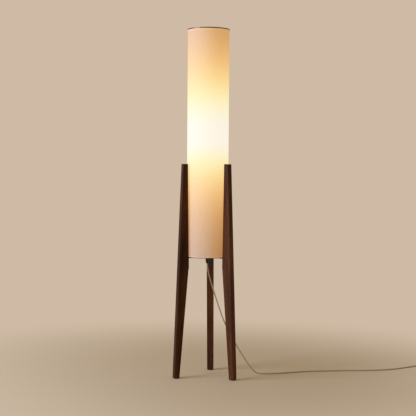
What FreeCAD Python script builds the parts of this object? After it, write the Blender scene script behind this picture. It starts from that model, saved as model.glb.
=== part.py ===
"""Column floor lamp: a tall fabric shade carried between three tapered wooden legs.

A folded three-arm steel bracket joins the legs under the shade, and a threaded riser tube on its
hub carries the lampholder and bulb inside the shade. A textile lead hangs from the cord grip under
the hub, runs along the floor through a foot switch, and ends in a tied coil and a two-pin plug.

Frame: +Z up, the floor at Z = 0, one leg to the rear along +Y. Lengths are in millimetres.
"""
import FreeCAD, Part
import math
import os

from FreeCAD import Placement, Rotation, Vector

# Shade
SHADE_RADIUS = 90.0          # outside of the fabric
SHADE_LENGTH = 986.0
SHADE_BOTTOM = 524.0         # lower rim above the floor
FABRIC_WALL = 1.0
LINER_WALL = 0.7
GLUE_GAP = 0.1
WIRE_RADIUS = 1.6            # the two hoops that stiffen the rims
TRIM_HEIGHT = 4.5            # bronze channel on the top rim
TRIM_WALL = 0.8
HEM_HEIGHT = 7.0             # folded tape round each end of the fabric
HEM_WALL = 0.5
SEAM_WIDTH = 12.0
SEAM_WALL = 0.4
SEAM_STANDOFF = 0.05

# Legs
LEG_SIDES = ("rear", "left", "right")
LEG_ANGLES = {side: 90 + 360 / len(LEG_SIDES) * i for i, side in enumerate(LEG_SIDES)}
LEG_HEIGHT = 928.0
LEG_WIDTH = 27.0             # across the leg, tangent to the shade
LEG_TOP_DEPTH = 21.3         # towards the shade
LEG_FOOT_DEPTH = 23.5
LEG_TOP_CLEAR = 7.0          # from the shade to the inner face, at the top
LEG_KINK_CLEAR = 1.5         # and at the kink
LEG_FOOT_CLEAR = 41.0        # and at the floor
LEG_KINK_DROP = 52.0         # the kink lies this far below the shade
LEG_EDGE_RADIUS = 2.5
LEG_END_RADIUS = 1.0
HAIR = 0.001                 # tolerance when an edge is picked by where its ends are

# Foot pads
PAD_THICKNESS = 3.0
PAD_INSET = 1.5
PAD_CORNER = 3.0
NAIL_HEAD_RADIUS = 3.2
NAIL_HEAD_THICKNESS = 1.0
NAIL_RECESS = 1.0
NAIL_RADIUS = 1.1
NAIL_LENGTH = 14.0

# Folded steel bracket
PLATE = 2.5
ARM_WIDTH = 20.0
HUB_RIM = 13.0               # from the washers' edge to the hub disc's
BEND_RADIUS = 2.5
TAB_KINK_GAP = 2.0           # the tabs end this far above the kink
TAB_CORNER = 5.0
LUG_WIDTH = 8.0
LUG_HEIGHT = 6.0             # above the arm's upper face
LUG_CLEARANCE = 0.6          # between a lug and the shade's hoop
SEAT_GAP = 0.3               # between the shade's rim and the arms
SCREW_TO_END = 12.0          # from the lower screw to the tab's end
SCREW_TO_BEND = 16.0         # from the upper screw to the arm's upper face
SCREW_RADIUS = 2.2
SCREW_LENGTH = 22.0
SCREW_HEAD_RADIUS = 4.6
SCREW_HEAD_THICKNESS = 2.6
SCREW_HEAD_EDGE = 1.5
PILOT_SPARE = 1.0            # how much deeper a screw's pilot hole is than the screw
HOLE_CLEARANCE = 0.3
PILOT_CLEARANCE = 0.05

# Hub stack and riser
RISER_WALL = 1.5
RISER_ROOM = 0.75            # round the lead inside the riser
THREAD_GRIP = 8.0            # how far the riser reaches into what screws onto it
NUT_WALL = 2.0
NUT_THICKNESS = 4.0
WASHER_RIM = 6.0
WASHER_THICKNESS = 1.2
GRIP_LENGTH = 20.0
GRIP_TOP_WALL = 2.0
GRIP_END_WALL = 1.7

# Lampholder and bulb
HOLDER_BOTTOM = 958.0
HOLDER_NECK_WALL = 3.5
HOLDER_NECK_LENGTH = 10.0
HOLDER_SHOULDER = 4.0        # rise of the dome from neck to full width
HOLDER_ROOM = 2.6            # between the threaded shell and the sleeve
HOLDER_HEIGHT = 56.0
HOLDER_WALL = 1.8
HOLDER_LAP = 4.0             # how far the sleeve's spigot sits inside the dome
HOLDER_RIM_CHAMFER = 1.0
INSERT_THICKNESS = 10.0
CORE_LENGTH = 5.2            # the two cores show this long between the lead and the insert
CORE_SOCKET = 2.0            # how far the cores reach into the insert
INSERT_CLEARANCE = 0.15
SHELL_CLEARANCE = 0.35       # between the bulb's cap and the shell
SHELL_WALL = 0.4
SHELL_SUNK = 4.0             # the shell's edge lies this far below the sleeve's rim
LEAF_RADIUS = 5.0            # centre contact on the insert
LEAF_THICKNESS = 0.8
SET_SCREW_RADIUS = 1.5
CAP_RADIUS = 13.0
CAP_LENGTH = 22.0
CAP_WALL = 0.4
CAP_CONE = 3.0
INSULATOR_RADIUS = 6.0       # black glass in the cap's end
INSULATOR_TIP_RADIUS = 4.0
INSULATOR_HEIGHT = 0.9       # below the cap's end
CONTACT_RADIUS = 3.5
CONTACT_HEIGHT = 0.9         # below the insulator
BULB_RADIUS = 30.0
BULB_NECK_CLEARANCE = 0.1    # inside the cap
BULB_WALL = 1.0
BULB_BLEND = 25.0            # radius of the waist between neck and globe
BULB_NECK_LENGTH = 7.8       # straight part above the cap
GLOBE_SPLIT = 14.0           # the white skirt ends this far below the globe's centre
BOARD_THICKNESS = 1.6

# Lead
CORD_DIAMETER = 5.5
BORE_CLEARANCE = 0.15
CORE_RADIUS = 1.0
CORE_SPACING = 2.6
ARC_SHARE = 0.45             # how much of a run each of its two arcs takes
GAP_SAMPLES = 600            # points at which the coil's own gap is measured

# Foot switch, lying on the lead
SWITCH_LENGTH = 56.0
SWITCH_HEIGHT = 19.0
SWITCH_BASE_HEIGHT = 6.0
SWITCH_WALL = 2.0
SWITCH_EDGE = 3.0
SWITCH_FOOT = 0.2            # clear of the floor
SWITCH_AXIS = 8.0            # height of the lead where it enters the switch
RELIEF_LENGTH = 14.0
RELIEF_ROOT_WALL = 2.2
RELIEF_TIP_WALL = 1.0
SWITCH_SCREW_RADIUS = 1.2
SWITCH_SCREW_HEAD = 2.4
SWITCH_SCREW_HEAD_THICKNESS = 1.6
SWITCH_SCREW_SUNK = 0.4      # the heads lie this far inside the base
SWITCH_SCREW_BITE = 6.0      # depth of thread in the cover's posts
SWITCH_SCREW_TO_END = 9.0    # from each screw to the nearer end of the housing
SWITCH_SCREW_ACROSS = 6.5
SWITCH_POST_WALL = 1.6
BUTTON_RADIUS = 9.5
BUTTON_EDGE = 1.2
BUTTON_HEIGHT = 4.0          # stands above the cover
BUTTON_TRAVEL = 2.5
BUTTON_FLANGE = 1.5
BUTTON_FLANGE_RIM = 1.5
BUTTON_ROOM = 2.0            # between the flange and the cover's side wall
BUTTON_GAP = 0.3

# Plug
PLUG_LENGTH = 36.0
PLUG_WIDTH = 35.0
PLUG_THICKNESS = 13.6
PLUG_REAR_WIDTH = 14.0
PLUG_WAIST = 19.0            # width in the middle of the finger grip
PLUG_GRIP_LENGTH = 22.0      # from the rear end to where the full width starts
PLUG_EDGE = 2.0
PLUG_FOOT = 0.2              # clear of the floor
PIN_RADIUS = 2.0
PIN_LENGTH = 19.0
PIN_TIP_EDGE = 1.4
PIN_SPACING = 19.0
PLUG_RELIEF_LENGTH = 22.0
PLUG_RELIEF_RADIUS = 5.2
PLUG_RELIEF_TIP_WALL = 0.8
END_RUN = 15.0               # runs of the lead from the coil down to the plug

# Coil of the spare lead
COIL_RADIUS = 38.0           # centre line of the outermost turn
COIL_TURN_GAP = 0.7          # between neighbouring turns
COIL_LAYER_GAP = 0.6         # between the two layers
COIL_REVERSE = 2.25          # turns wound inwards before they run out again
COIL_TURNS = 4.25
COIL_CLIMB = 0.5             # turns over which the lead climbs to the second layer
TIE_WIDTH = 9.0
TIE_WALL = 0.8
TIE_GAP = 0.25
TIE_FOOT = 0.1               # between the tie and the floor
TIE_BOW = 0.4                # the turns bow this much across the tie's width

# Sizes that follow
CORD_RADIUS = CORD_DIAMETER / 2
RISER_BORE = CORD_RADIUS + RISER_ROOM
RISER_RADIUS = RISER_BORE + RISER_WALL
WASHER_RADIUS = RISER_RADIUS + WASHER_RIM
HUB_RADIUS = WASHER_RADIUS + HUB_RIM
SHELL_RADIUS = CAP_RADIUS + SHELL_CLEARANCE
SPIGOT_BORE = SHELL_RADIUS + SHELL_WALL + HOLDER_ROOM
SPIGOT_RADIUS = SPIGOT_BORE + HOLDER_WALL
HOLDER_RADIUS = SPIGOT_RADIUS + PILOT_CLEARANCE + HOLDER_WALL
HOLDER_NECK_RADIUS = RISER_RADIUS + HOLDER_NECK_WALL
BULB_NECK_RADIUS = CAP_RADIUS - CAP_WALL - BULB_NECK_CLEARANCE
LEG_TOP_INNER = SHADE_RADIUS + LEG_TOP_CLEAR
LEG_KINK_INNER = SHADE_RADIUS + LEG_KINK_CLEAR
LEG_FOOT_INNER = SHADE_RADIUS + LEG_FOOT_CLEAR
LEG_TOP_OUTER = LEG_TOP_INNER + LEG_TOP_DEPTH
LEG_FOOT_OUTER = LEG_FOOT_INNER + LEG_FOOT_DEPTH
LEG_KINK_HEIGHT = SHADE_BOTTOM - LEG_KINK_DROP
TAB_END_HEIGHT = LEG_KINK_HEIGHT + TAB_KINK_GAP
SHADE_TOP = SHADE_BOTTOM + SHADE_LENGTH
FABRIC_TOP = SHADE_TOP - TRIM_WALL - GLUE_GAP
FABRIC_IN = SHADE_RADIUS - FABRIC_WALL
LINER_OUT = FABRIC_IN - GLUE_GAP
LINER_IN = LINER_OUT - LINER_WALL
HOOP_RADIUS = LINER_IN - GLUE_GAP - WIRE_RADIUS
HEM_IN = SHADE_RADIUS + GLUE_GAP
HEM_OUT = HEM_IN + HEM_WALL
TRIM_OUT = HEM_OUT + GLUE_GAP + TRIM_WALL
ARM_TOP = SHADE_BOTTOM - SEAT_GAP
ARM_BOTTOM = ARM_TOP - PLATE
SCREW_HEIGHTS = (TAB_END_HEIGHT + SCREW_TO_END, ARM_TOP - SCREW_TO_BEND)
LOWER_NUT_TOP = ARM_BOTTOM - WASHER_THICKNESS
GRIP_TOP = LOWER_NUT_TOP - NUT_THICKNESS
GRIP_END = GRIP_TOP - GRIP_LENGTH
RISER_BOTTOM = GRIP_TOP - THREAD_GRIP
RISER_TOP = HOLDER_BOTTOM + THREAD_GRIP
LEAD_TOP = HOLDER_BOTTOM + HOLDER_NECK_LENGTH + HOLDER_WALL
INSERT_LOW = LEAD_TOP + CORE_LENGTH
INSERT_TOP = INSERT_LOW + INSERT_THICKNESS
CONTACT_BOTTOM = INSERT_TOP + LEAF_THICKNESS + PILOT_CLEARANCE
INSULATOR_BOTTOM = CONTACT_BOTTOM + CONTACT_HEIGHT
CAP_BOTTOM = INSULATOR_BOTTOM + INSULATOR_HEIGHT
CAP_TOP = CAP_BOTTOM + CAP_CONE + CAP_LENGTH
WAIST_X = BULB_NECK_RADIUS + BULB_BLEND
WAIST_Z = CAP_TOP + BULB_NECK_LENGTH
BULB_CENTRE = WAIST_Z + math.sqrt((BULB_RADIUS + BULB_BLEND) ** 2 - WAIST_X ** 2)
BUTTON_FLANGE_RADIUS = BUTTON_RADIUS + BUTTON_FLANGE_RIM
SWITCH_WIDTH = 2 * (BUTTON_FLANGE_RADIUS + BUTTON_ROOM + SWITCH_WALL)
SWITCH_SCREW_ALONG = SWITCH_LENGTH / 2 - SWITCH_SCREW_TO_END
PLUG_AXIS = PLUG_THICKNESS / 2 + PLUG_FOOT
COIL_PITCH = CORD_DIAMETER + COIL_TURN_GAP
COIL_LOW = TIE_FOOT + TIE_WALL + TIE_GAP + CORD_RADIUS
COIL_HIGH = COIL_LOW + CORD_DIAMETER + COIL_LAYER_GAP

# The lead's route: from the grip to the switch, from the switch to the coil, then to the plug
DROP_ROUTE = [
    (0, 0, GRIP_END), (0, 0, GRIP_END - 36), (10, 3.6, 412), (33, 11.5, 352), (57, 20, 290), (80, 28, 230),
    (105, 37, 172), (134, 46.5, 118), (164, 57, 68), (192, 66, 26), (216, 74, CORD_RADIUS),
    (250, 76, CORD_RADIUS), (292, 84, CORD_RADIUS), (340, 108, CORD_RADIUS),
    (398, 140, CORD_RADIUS), (462, 166, CORD_RADIUS), (534, 186, CORD_RADIUS),
    (612, 206, CORD_RADIUS), (690, 219, CORD_RADIUS), (762, 238, CORD_RADIUS),
    (822, 268, CORD_RADIUS), (874, 310, CORD_RADIUS), (914, 347, CORD_RADIUS),
    (944, 372, 3.2), (970, 382, SWITCH_AXIS), (994, 382, SWITCH_AXIS),
]
OUTLET = DROP_ROUTE[-1][0] + 2 * RELIEF_LENGTH + SWITCH_LENGTH
LEAD_ROUTE = [
    (OUTLET, 382, SWITCH_AXIS), (OUTLET + 24, 382, SWITCH_AXIS), (OUTLET + 44.8, 370, 5.8),
    (OUTLET + 56.8, 349.2, COIL_LOW), (OUTLET + 56.8, 325.2, COIL_LOW),
]
COIL_X = LEAD_ROUTE[-1][0] - COIL_RADIUS
COIL_Y = LEAD_ROUTE[-1][1] - CORD_DIAMETER
COIL_END_RADIUS = COIL_RADIUS - COIL_PITCH * (2 * COIL_REVERSE - COIL_TURNS)
END_Y = COIL_Y - COIL_END_RADIUS
END_X = COIL_X - CORD_DIAMETER
END_ROUTE = [
    (END_X, END_Y, COIL_HIGH), (END_X - END_RUN, END_Y, COIL_HIGH),
    (END_X - 2 * END_RUN, END_Y, PLUG_AXIS), (END_X - 3 * END_RUN, END_Y, PLUG_AXIS),
]

UP = Vector(0, 0, 1)


def inner_face(height):
    """Distance from the axis to a leg's inner face at a height."""
    if height >= LEG_KINK_HEIGHT:
        share = (height - LEG_KINK_HEIGHT) / (LEG_HEIGHT - LEG_KINK_HEIGHT)
        return LEG_KINK_INNER + (LEG_TOP_INNER - LEG_KINK_INNER) * share
    share = height / LEG_KINK_HEIGHT
    return LEG_FOOT_INNER + (LEG_KINK_INNER - LEG_FOOT_INNER) * share


def outer_face(height):
    """Distance from the axis to a leg's straight outer face at a height."""
    return LEG_FOOT_OUTER + (LEG_TOP_OUTER - LEG_FOOT_OUTER) * height / LEG_HEIGHT


def revolved(corners):
    """Solid of revolution about the lamp's axis from (radius, height) corners."""
    wire = Part.makePolygon([Vector(r, 0, z) for r, z in corners + corners[:1]])
    return Part.Face(wire).revolve(Vector(), UP, 360)


def ring(outer, inner, low, high):
    """Flat-ended ring or tube about the lamp's axis."""
    return revolved([(inner, low), (outer, low), (outer, high), (inner, high)])


def slab(corners, width):
    """Solid from corners in the X-Z plane, as wide as given along Y and centred on Y = 0."""
    wire = Part.makePolygon([Vector(x, -width / 2, z) for x, z in corners + corners[:1]])
    return Part.Face(wire).extrude(Vector(0, width, 0))


def box(low, high):
    """Box between two corners."""
    size = [b - a for a, b in zip(low, high)]
    return Part.makeBox(*size, Vector(*low))


def at_leg(shape, side):
    """Turn a shape made along +X to the leg on a side."""
    return shape.rotated(Vector(), UP, LEG_ANGLES[side])


def at_every_leg(shape):
    """Copies of a shape at all three legs, as one compound."""
    return Part.makeCompound([at_leg(shape, side) for side in LEG_ANGLES])


def laid(shape, start, direction):
    """Carry a shape made along +Z to a start point and a direction."""
    moved = shape.copy()
    moved.Placement = Placement(Vector(*start), Rotation(UP, Vector(*direction)))
    return moved


def edges_where(shape, test):
    """Edges whose two ends pass a test."""
    ends = [(e, e.Vertexes[0].Point, e.Vertexes[-1].Point) for e in shape.Edges]
    return [e for e, a, b in ends if test(a, b)]


# Legs and pads

def screw_axis():
    """Unit vector into a leg, square to its inner face above the kink."""
    rise = LEG_HEIGHT - LEG_KINK_HEIGHT
    lean = LEG_TOP_INNER - LEG_KINK_INNER
    return Vector(rise, 0, -lean).normalize()


def screw():
    """Pan-head wood screw along +Z: the head's underside is at Z = 0."""
    crown = Vector(0, 0, -SCREW_HEAD_THICKNESS)
    head = Part.makeCylinder(SCREW_HEAD_RADIUS, SCREW_HEAD_THICKNESS, crown)
    rim = edges_where(head, lambda a, b: max(a.z, b.z) < -SCREW_HEAD_THICKNESS / 2)
    head = head.makeFillet(SCREW_HEAD_EDGE, rim)
    shank = Part.makeCylinder(SCREW_RADIUS, SCREW_LENGTH - SCREW_RADIUS)
    point = Part.makeCone(SCREW_RADIUS, 0, SCREW_RADIUS, Vector(0, 0, SCREW_LENGTH - SCREW_RADIUS))
    return head.fuse([shank, point]).removeSplitter()


def at_screws(shape, depth=0.0):
    """Copies of a shape at a leg's screws, starting the given depth inside the tab's free face."""
    axis = screw_axis()
    copies = []
    for height in SCREW_HEIGHTS:
        face = Vector(inner_face(height), 0, height)
        copies.append(laid(shape, face + axis * (depth - PLATE), axis))
    return copies


def leg():
    """One leg along +X: straight outer edge, widest at the kink, tapering to the foot."""
    low = PAD_THICKNESS
    body = slab(
        [
            (inner_face(low), low),
            (outer_face(low), low),
            (LEG_TOP_OUTER, LEG_HEIGHT),
            (LEG_TOP_INNER, LEG_HEIGHT),
            (LEG_KINK_INNER, LEG_KINK_HEIGHT),
        ],
        LEG_WIDTH,
    )
    long_edges = edges_where(body, lambda a, b: abs(a.z - b.z) > LEG_WIDTH)
    body = body.makeFillet(LEG_EDGE_RADIUS, long_edges)

    def at_an_end(a, b):
        return abs(a.z - b.z) < HAIR and min(abs(a.z - low), abs(a.z - LEG_HEIGHT)) < HAIR

    body = body.makeFillet(LEG_END_RADIUS, edges_where(body, at_an_end))
    pilot = Part.makeCylinder(SCREW_RADIUS + PILOT_CLEARANCE, SCREW_LENGTH + PILOT_SPARE)
    nail = Part.makeCylinder(NAIL_RADIUS + PILOT_CLEARANCE, NAIL_LENGTH, Vector(pad_centre(), 0, 0))
    return body.cut(at_screws(pilot) + [nail])


def pad_centre():
    """Distance from the axis to the middle of a foot pad."""
    return (LEG_FOOT_INNER + LEG_FOOT_OUTER) / 2


def foot_pad():
    """Glide pad under a foot, counterbored for its nail."""
    half = LEG_WIDTH / 2 - PAD_INSET
    near = inner_face(PAD_THICKNESS) + PAD_INSET
    far = outer_face(PAD_THICKNESS) - PAD_INSET
    pad = box((near, -half, 0), (far, half, PAD_THICKNESS))
    upright = edges_where(pad, lambda a, b: abs(a.z - b.z) > PAD_THICKNESS / 2)
    pad = pad.makeFillet(PAD_CORNER, upright)
    middle = Vector(pad_centre(), 0, 0)
    head_room = NAIL_RECESS + NAIL_HEAD_THICKNESS
    recess = Part.makeCylinder(NAIL_HEAD_RADIUS + PILOT_CLEARANCE, head_room, middle)
    hole = Part.makeCylinder(NAIL_RADIUS + PILOT_CLEARANCE, PAD_THICKNESS, middle)
    return pad.cut([recess, hole])


def pad_nail():
    """Nail that holds a pad, its head sunk above the floor."""
    head_top = NAIL_RECESS + NAIL_HEAD_THICKNESS
    head_low = Vector(pad_centre(), 0, NAIL_RECESS)
    shank_low = Vector(pad_centre(), 0, head_top)
    head = Part.makeCylinder(NAIL_HEAD_RADIUS, NAIL_HEAD_THICKNESS, head_low)
    shank = Part.makeCylinder(NAIL_RADIUS, NAIL_LENGTH - head_top, shank_low)
    return head.fuse(shank).removeSplitter()


# Bracket, hub and riser

def bracket_arm():
    """One arm along +X, folded down into a tab on the leg's inner face."""
    tab_end = inner_face(TAB_END_HEIGHT)
    corner = (inner_face(ARM_BOTTOM) - PLATE, ARM_BOTTOM)
    arm = slab(
        [
            (0, ARM_BOTTOM),
            corner,
            (tab_end - PLATE, TAB_END_HEIGHT),
            (tab_end, TAB_END_HEIGHT),
            (inner_face(ARM_TOP), ARM_TOP),
            (0, ARM_TOP),
        ],
        ARM_WIDTH,
    )

    def bend_edge(x, z):
        def off(point):
            return math.hypot(point.x - x, point.z - z)

        return edges_where(arm, lambda a, b: max(off(a), off(b)) < HAIR)

    arm = arm.makeFillet(BEND_RADIUS + PLATE, bend_edge(inner_face(ARM_TOP), ARM_TOP))
    arm = arm.makeFillet(BEND_RADIUS, bend_edge(*corner))
    tab_low = TAB_END_HEIGHT + PLATE
    ends = edges_where(arm, lambda a, b: max(a.z, b.z) < tab_low and abs(a.y - b.y) < HAIR)
    arm = arm.makeFillet(TAB_CORNER, ends)
    hole = Part.makeCylinder(SCREW_RADIUS + HOLE_CLEARANCE, 2 * PLATE)
    arm = arm.cut(at_screws(hole, -PLATE / 2))
    face = HOOP_RADIUS - WIRE_RADIUS - LUG_CLEARANCE
    half = LUG_WIDTH / 2
    lug = box((face - PLATE, -half, ARM_BOTTOM), (face, half, ARM_TOP + LUG_HEIGHT))
    return arm.fuse(lug)


def leg_bracket():
    """Hub disc and three folded arms, cut from one steel plate."""
    disc = Part.makeCylinder(HUB_RADIUS, PLATE, Vector(0, 0, ARM_BOTTOM))
    arms = [at_leg(bracket_arm(), side) for side in LEG_ANGLES]
    hole = Part.makeCylinder(RISER_RADIUS + HOLE_CLEARANCE, 4 * PLATE, Vector(0, 0, ARM_BOTTOM - PLATE))
    return disc.fuse(arms).cut(hole).removeSplitter()


def hex_nut(low):
    """Thin hexagon nut on the riser."""
    corner = (RISER_RADIUS + NUT_WALL) * 2 / math.sqrt(3)
    angles = [math.radians(60 * i) for i in range(7)]
    wire = Part.makePolygon([Vector(corner * math.cos(a), corner * math.sin(a), low) for a in angles])
    bore = Part.makeCylinder(RISER_RADIUS, NUT_THICKNESS, Vector(0, 0, low))
    return Part.Face(wire).extrude(Vector(0, 0, NUT_THICKNESS)).cut(bore)


def cord_grip():
    """Tapered grip screwed onto the riser's lower end, where the lead comes out."""
    bore = CORD_RADIUS + BORE_CLEARANCE
    return revolved(
        [
            (bore, GRIP_END),
            (bore + GRIP_END_WALL, GRIP_END),
            (RISER_RADIUS + GRIP_TOP_WALL, RISER_BOTTOM),
            (RISER_RADIUS + GRIP_TOP_WALL, GRIP_TOP),
            (RISER_RADIUS, GRIP_TOP),
            (RISER_RADIUS, RISER_BOTTOM),
            (bore, RISER_BOTTOM),
        ]
    )


# Lampholder

def holder_dome():
    """Lower half of the lampholder, screwed onto the riser."""
    low = HOLDER_BOTTOM
    neck_top = low + HOLDER_NECK_LENGTH
    shoulder = neck_top + HOLDER_SHOULDER
    bore = CORD_RADIUS + BORE_CLEARANCE
    inner = HOLDER_RADIUS - HOLDER_WALL
    outside = [
        (RISER_RADIUS, low),
        (HOLDER_NECK_RADIUS, low),
        (HOLDER_NECK_RADIUS, neck_top),
        (inner, shoulder),
        (HOLDER_RADIUS, shoulder + HOLDER_WALL),
        (HOLDER_RADIUS, INSERT_TOP),
    ]
    inside = [
        (inner, INSERT_TOP),
        (inner, shoulder + HOLDER_WALL),
        (HOLDER_NECK_RADIUS - HOLDER_WALL, neck_top + HOLDER_WALL),
        (bore, neck_top + HOLDER_WALL),
        (bore, RISER_TOP),
        (RISER_RADIUS, RISER_TOP),
    ]
    return revolved(outside + inside).cut(cross_pin(0, 2 * HOLDER_NECK_RADIUS))


def cross_pin(near, far):
    """Cylinder along +X as thick as the set screw, at its height on the riser."""
    start = Vector(near, 0, HOLDER_BOTTOM + THREAD_GRIP / 2)
    return Part.makeCylinder(SET_SCREW_RADIUS, far - near, start, Vector(1, 0, 0))


def holder_set_screw():
    """Set screw that bears on the riser and locks the lampholder there."""
    return cross_pin(RISER_RADIUS, HOLDER_NECK_RADIUS)


def holder_sleeve():
    """Upper sleeve of the lampholder, its spigot seated inside the dome."""
    top = HOLDER_BOTTOM + HOLDER_HEIGHT
    return revolved(
        [
            (SPIGOT_BORE, INSERT_TOP - HOLDER_LAP),
            (SPIGOT_RADIUS, INSERT_TOP - HOLDER_LAP),
            (SPIGOT_RADIUS, INSERT_TOP),
            (HOLDER_RADIUS, INSERT_TOP),
            (HOLDER_RADIUS, top - HOLDER_RIM_CHAMFER),
            (HOLDER_RADIUS - HOLDER_RIM_CHAMFER, top),
            (SPIGOT_BORE, top),
        ]
    )


def holder_insert():
    """Ceramic block inside the lampholder that carries the contacts."""
    radius = SPIGOT_BORE - INSERT_CLEARANCE
    low = Vector(0, 0, INSERT_LOW)
    block = Part.makeCylinder(radius, INSERT_THICKNESS, low)
    socket = Part.makeCylinder(CORE_RADIUS, CORE_SOCKET, low)
    return block.cut(core_pair(socket))


def core_pair(shape):
    """Copies of a shape at the lead's two cores."""
    offset = Vector(0, CORE_SPACING / 2, 0)
    return [shape.translated(offset), shape.translated(offset * -1)]


def holder_shell():
    """Metal shell that the bulb's cap screws into."""
    top = HOLDER_BOTTOM + HOLDER_HEIGHT - SHELL_SUNK
    return ring(SHELL_RADIUS + SHELL_WALL, SHELL_RADIUS, INSERT_TOP, top)


def holder_contact():
    """Centre contact on the insert, under the bulb."""
    return Part.makeCylinder(LEAF_RADIUS, LEAF_THICKNESS, Vector(0, 0, INSERT_TOP))


# Bulb

def bulb_profile(inset):
    """Bulb outline turned to a solid, set in from the outside by a wall: neck, waist and globe."""
    globe = BULB_RADIUS - inset
    neck = BULB_NECK_RADIUS - inset
    low = CAP_TOP - CAP_CONE
    centre = Vector(0, 0, BULB_CENTRE)
    waist = Vector(WAIST_X, 0, WAIST_Z)
    join = centre + (waist - centre).normalize() * globe
    blend = BULB_BLEND + inset
    inward = ((join - waist).normalize() + Vector(-1, 0, 0)).normalize()
    side = centre + Vector(globe, 0, 0)
    top = centre + UP * globe
    foot, start = Vector(neck, 0, low), Vector(neck, 0, WAIST_Z)
    edges = [
        Part.makeLine(Vector(0, 0, low), foot),
        Part.makeLine(foot, start),
        Part.Arc(start, waist + inward * blend, join).toShape(),
        Part.Arc(join, side, top).toShape(),
        Part.makeLine(top, Vector(0, 0, low)),
    ]
    return Part.Face(Part.Wire(edges)).revolve(Vector(), UP, 360)


def bulb_shell(low, high):
    """The part of the bulb's thin envelope between two heights."""
    reach = 2 * BULB_RADIUS
    space = box((-reach, -reach, low), (reach, reach, high))
    return bulb_profile(0).cut(bulb_profile(BULB_WALL)).common(space)


def bulb_parts():
    """Opal globe, white skirt, light board, and the screw cap with its insulator and contact."""
    split = BULB_CENTRE - GLOBE_SPLIT
    inside = BULB_RADIUS - BULB_WALL
    board_radius = math.sqrt(inside ** 2 - (GLOBE_SPLIT + BOARD_THICKNESS) ** 2) - GLUE_GAP
    cap_low = CAP_BOTTOM + CAP_CONE
    cap = revolved(
        [
            (INSULATOR_RADIUS, CAP_BOTTOM),
            (CAP_RADIUS, cap_low),
            (CAP_RADIUS, CAP_TOP),
            (CAP_RADIUS - CAP_WALL, CAP_TOP),
            (CAP_RADIUS - CAP_WALL, cap_low),
            (INSULATOR_RADIUS, CAP_BOTTOM + CAP_WALL),
        ]
    )
    insulator = revolved(
        [
            (0, INSULATOR_BOTTOM),
            (INSULATOR_TIP_RADIUS, INSULATOR_BOTTOM),
            (INSULATOR_RADIUS, CAP_BOTTOM),
            (INSULATOR_RADIUS, CAP_BOTTOM + CAP_WALL),
            (0, CAP_BOTTOM + CAP_WALL),
        ]
    )
    contact = Part.makeCylinder(CONTACT_RADIUS, CONTACT_HEIGHT, Vector(0, 0, CONTACT_BOTTOM))
    board_low = Vector(0, 0, split - BOARD_THICKNESS)
    return {
        "bulb_globe": bulb_shell(split, BULB_CENTRE + 2 * BULB_RADIUS),
        "bulb_skirt": bulb_shell(CAP_TOP - CAP_CONE, split),
        "bulb_board": Part.makeCylinder(board_radius, BOARD_THICKNESS, board_low),
        "bulb_cap": cap,
        "bulb_insulator": insulator,
        "bulb_contact": contact,
    }


# Shade

def shade_parts():
    """Fabric, liner, hoops, hems, seam and the bronze channel on the top rim."""
    slot_in = LINER_IN - GLUE_GAP
    slot_out = HEM_OUT + GLUE_GAP
    slot_top = SHADE_TOP - TRIM_WALL
    skirt = SHADE_TOP - TRIM_HEIGHT
    chamfer = TRIM_WALL / 2
    channel = revolved(
        [
            (slot_out, skirt),
            (TRIM_OUT, skirt),
            (TRIM_OUT, SHADE_TOP - chamfer),
            (TRIM_OUT - chamfer, SHADE_TOP),
            (slot_in - TRIM_WALL, SHADE_TOP),
            (slot_in - TRIM_WALL, skirt),
            (slot_in, skirt),
            (slot_in, slot_top),
            (slot_out, slot_top),
        ]
    )
    seam_low = SHADE_BOTTOM + HEM_HEIGHT
    seam_high = FABRIC_TOP - TRIM_HEIGHT - HEM_HEIGHT
    seam_in = SHADE_RADIUS + SEAM_STANDOFF
    half = SEAM_WIDTH / 2
    seam = ring(seam_in + SEAM_WALL, seam_in, seam_low, seam_high)
    seam = seam.common(box((-half, 0, seam_low), (half, 2 * SHADE_RADIUS, seam_high)))
    lower_hoop = SHADE_BOTTOM + WIRE_RADIUS
    upper_hoop = skirt - GLUE_GAP - WIRE_RADIUS
    return {
        "shade_fabric": ring(SHADE_RADIUS, FABRIC_IN, SHADE_BOTTOM, FABRIC_TOP),
        "shade_liner": ring(LINER_OUT, LINER_IN, SHADE_BOTTOM, FABRIC_TOP),
        "shade_hoop_lower": Part.makeTorus(HOOP_RADIUS, WIRE_RADIUS, Vector(0, 0, lower_hoop)),
        "shade_hoop_upper": Part.makeTorus(HOOP_RADIUS, WIRE_RADIUS, Vector(0, 0, upper_hoop)),
        "shade_hem_lower": ring(HEM_OUT, HEM_IN, SHADE_BOTTOM, SHADE_BOTTOM + HEM_HEIGHT),
        "shade_hem_upper": ring(HEM_OUT, HEM_IN, seam_high, FABRIC_TOP),
        "shade_seam": seam,
        "shade_top_trim": channel,
    }


# Lead

def rounded_path(name, points):
    """Straight runs joined by tangent arcs, each as large as its two runs allow. Prints the radii."""
    corners = [Vector(*p) for p in points]
    edges, radii, here = [], [], corners[0]
    for before, corner, after in zip(corners, corners[1:], corners[2:]):
        back, ahead = (before - corner), (after - corner)
        shorter = min(back.Length, ahead.Length)
        back.normalize()
        ahead.normalize()
        turn = math.pi - back.getAngle(ahead)
        reach = ARC_SHARE * shorter
        radius = reach / math.tan(turn / 2)
        inward = (back + ahead).normalize()
        depth = math.hypot(radius, reach) - radius
        start, end = corner + back * reach, corner + ahead * reach
        edges.append(Part.makeLine(here, start))
        edges.append(Part.Arc(start, corner + inward * depth, end).toShape())
        radii.append(radius)
        here = end
    edges.append(Part.makeLine(here, corners[-1]))
    print(f"{name}: radii {', '.join(f'{r:.0f}' for r in radii)} mm")
    return Part.Wire(edges)


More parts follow.
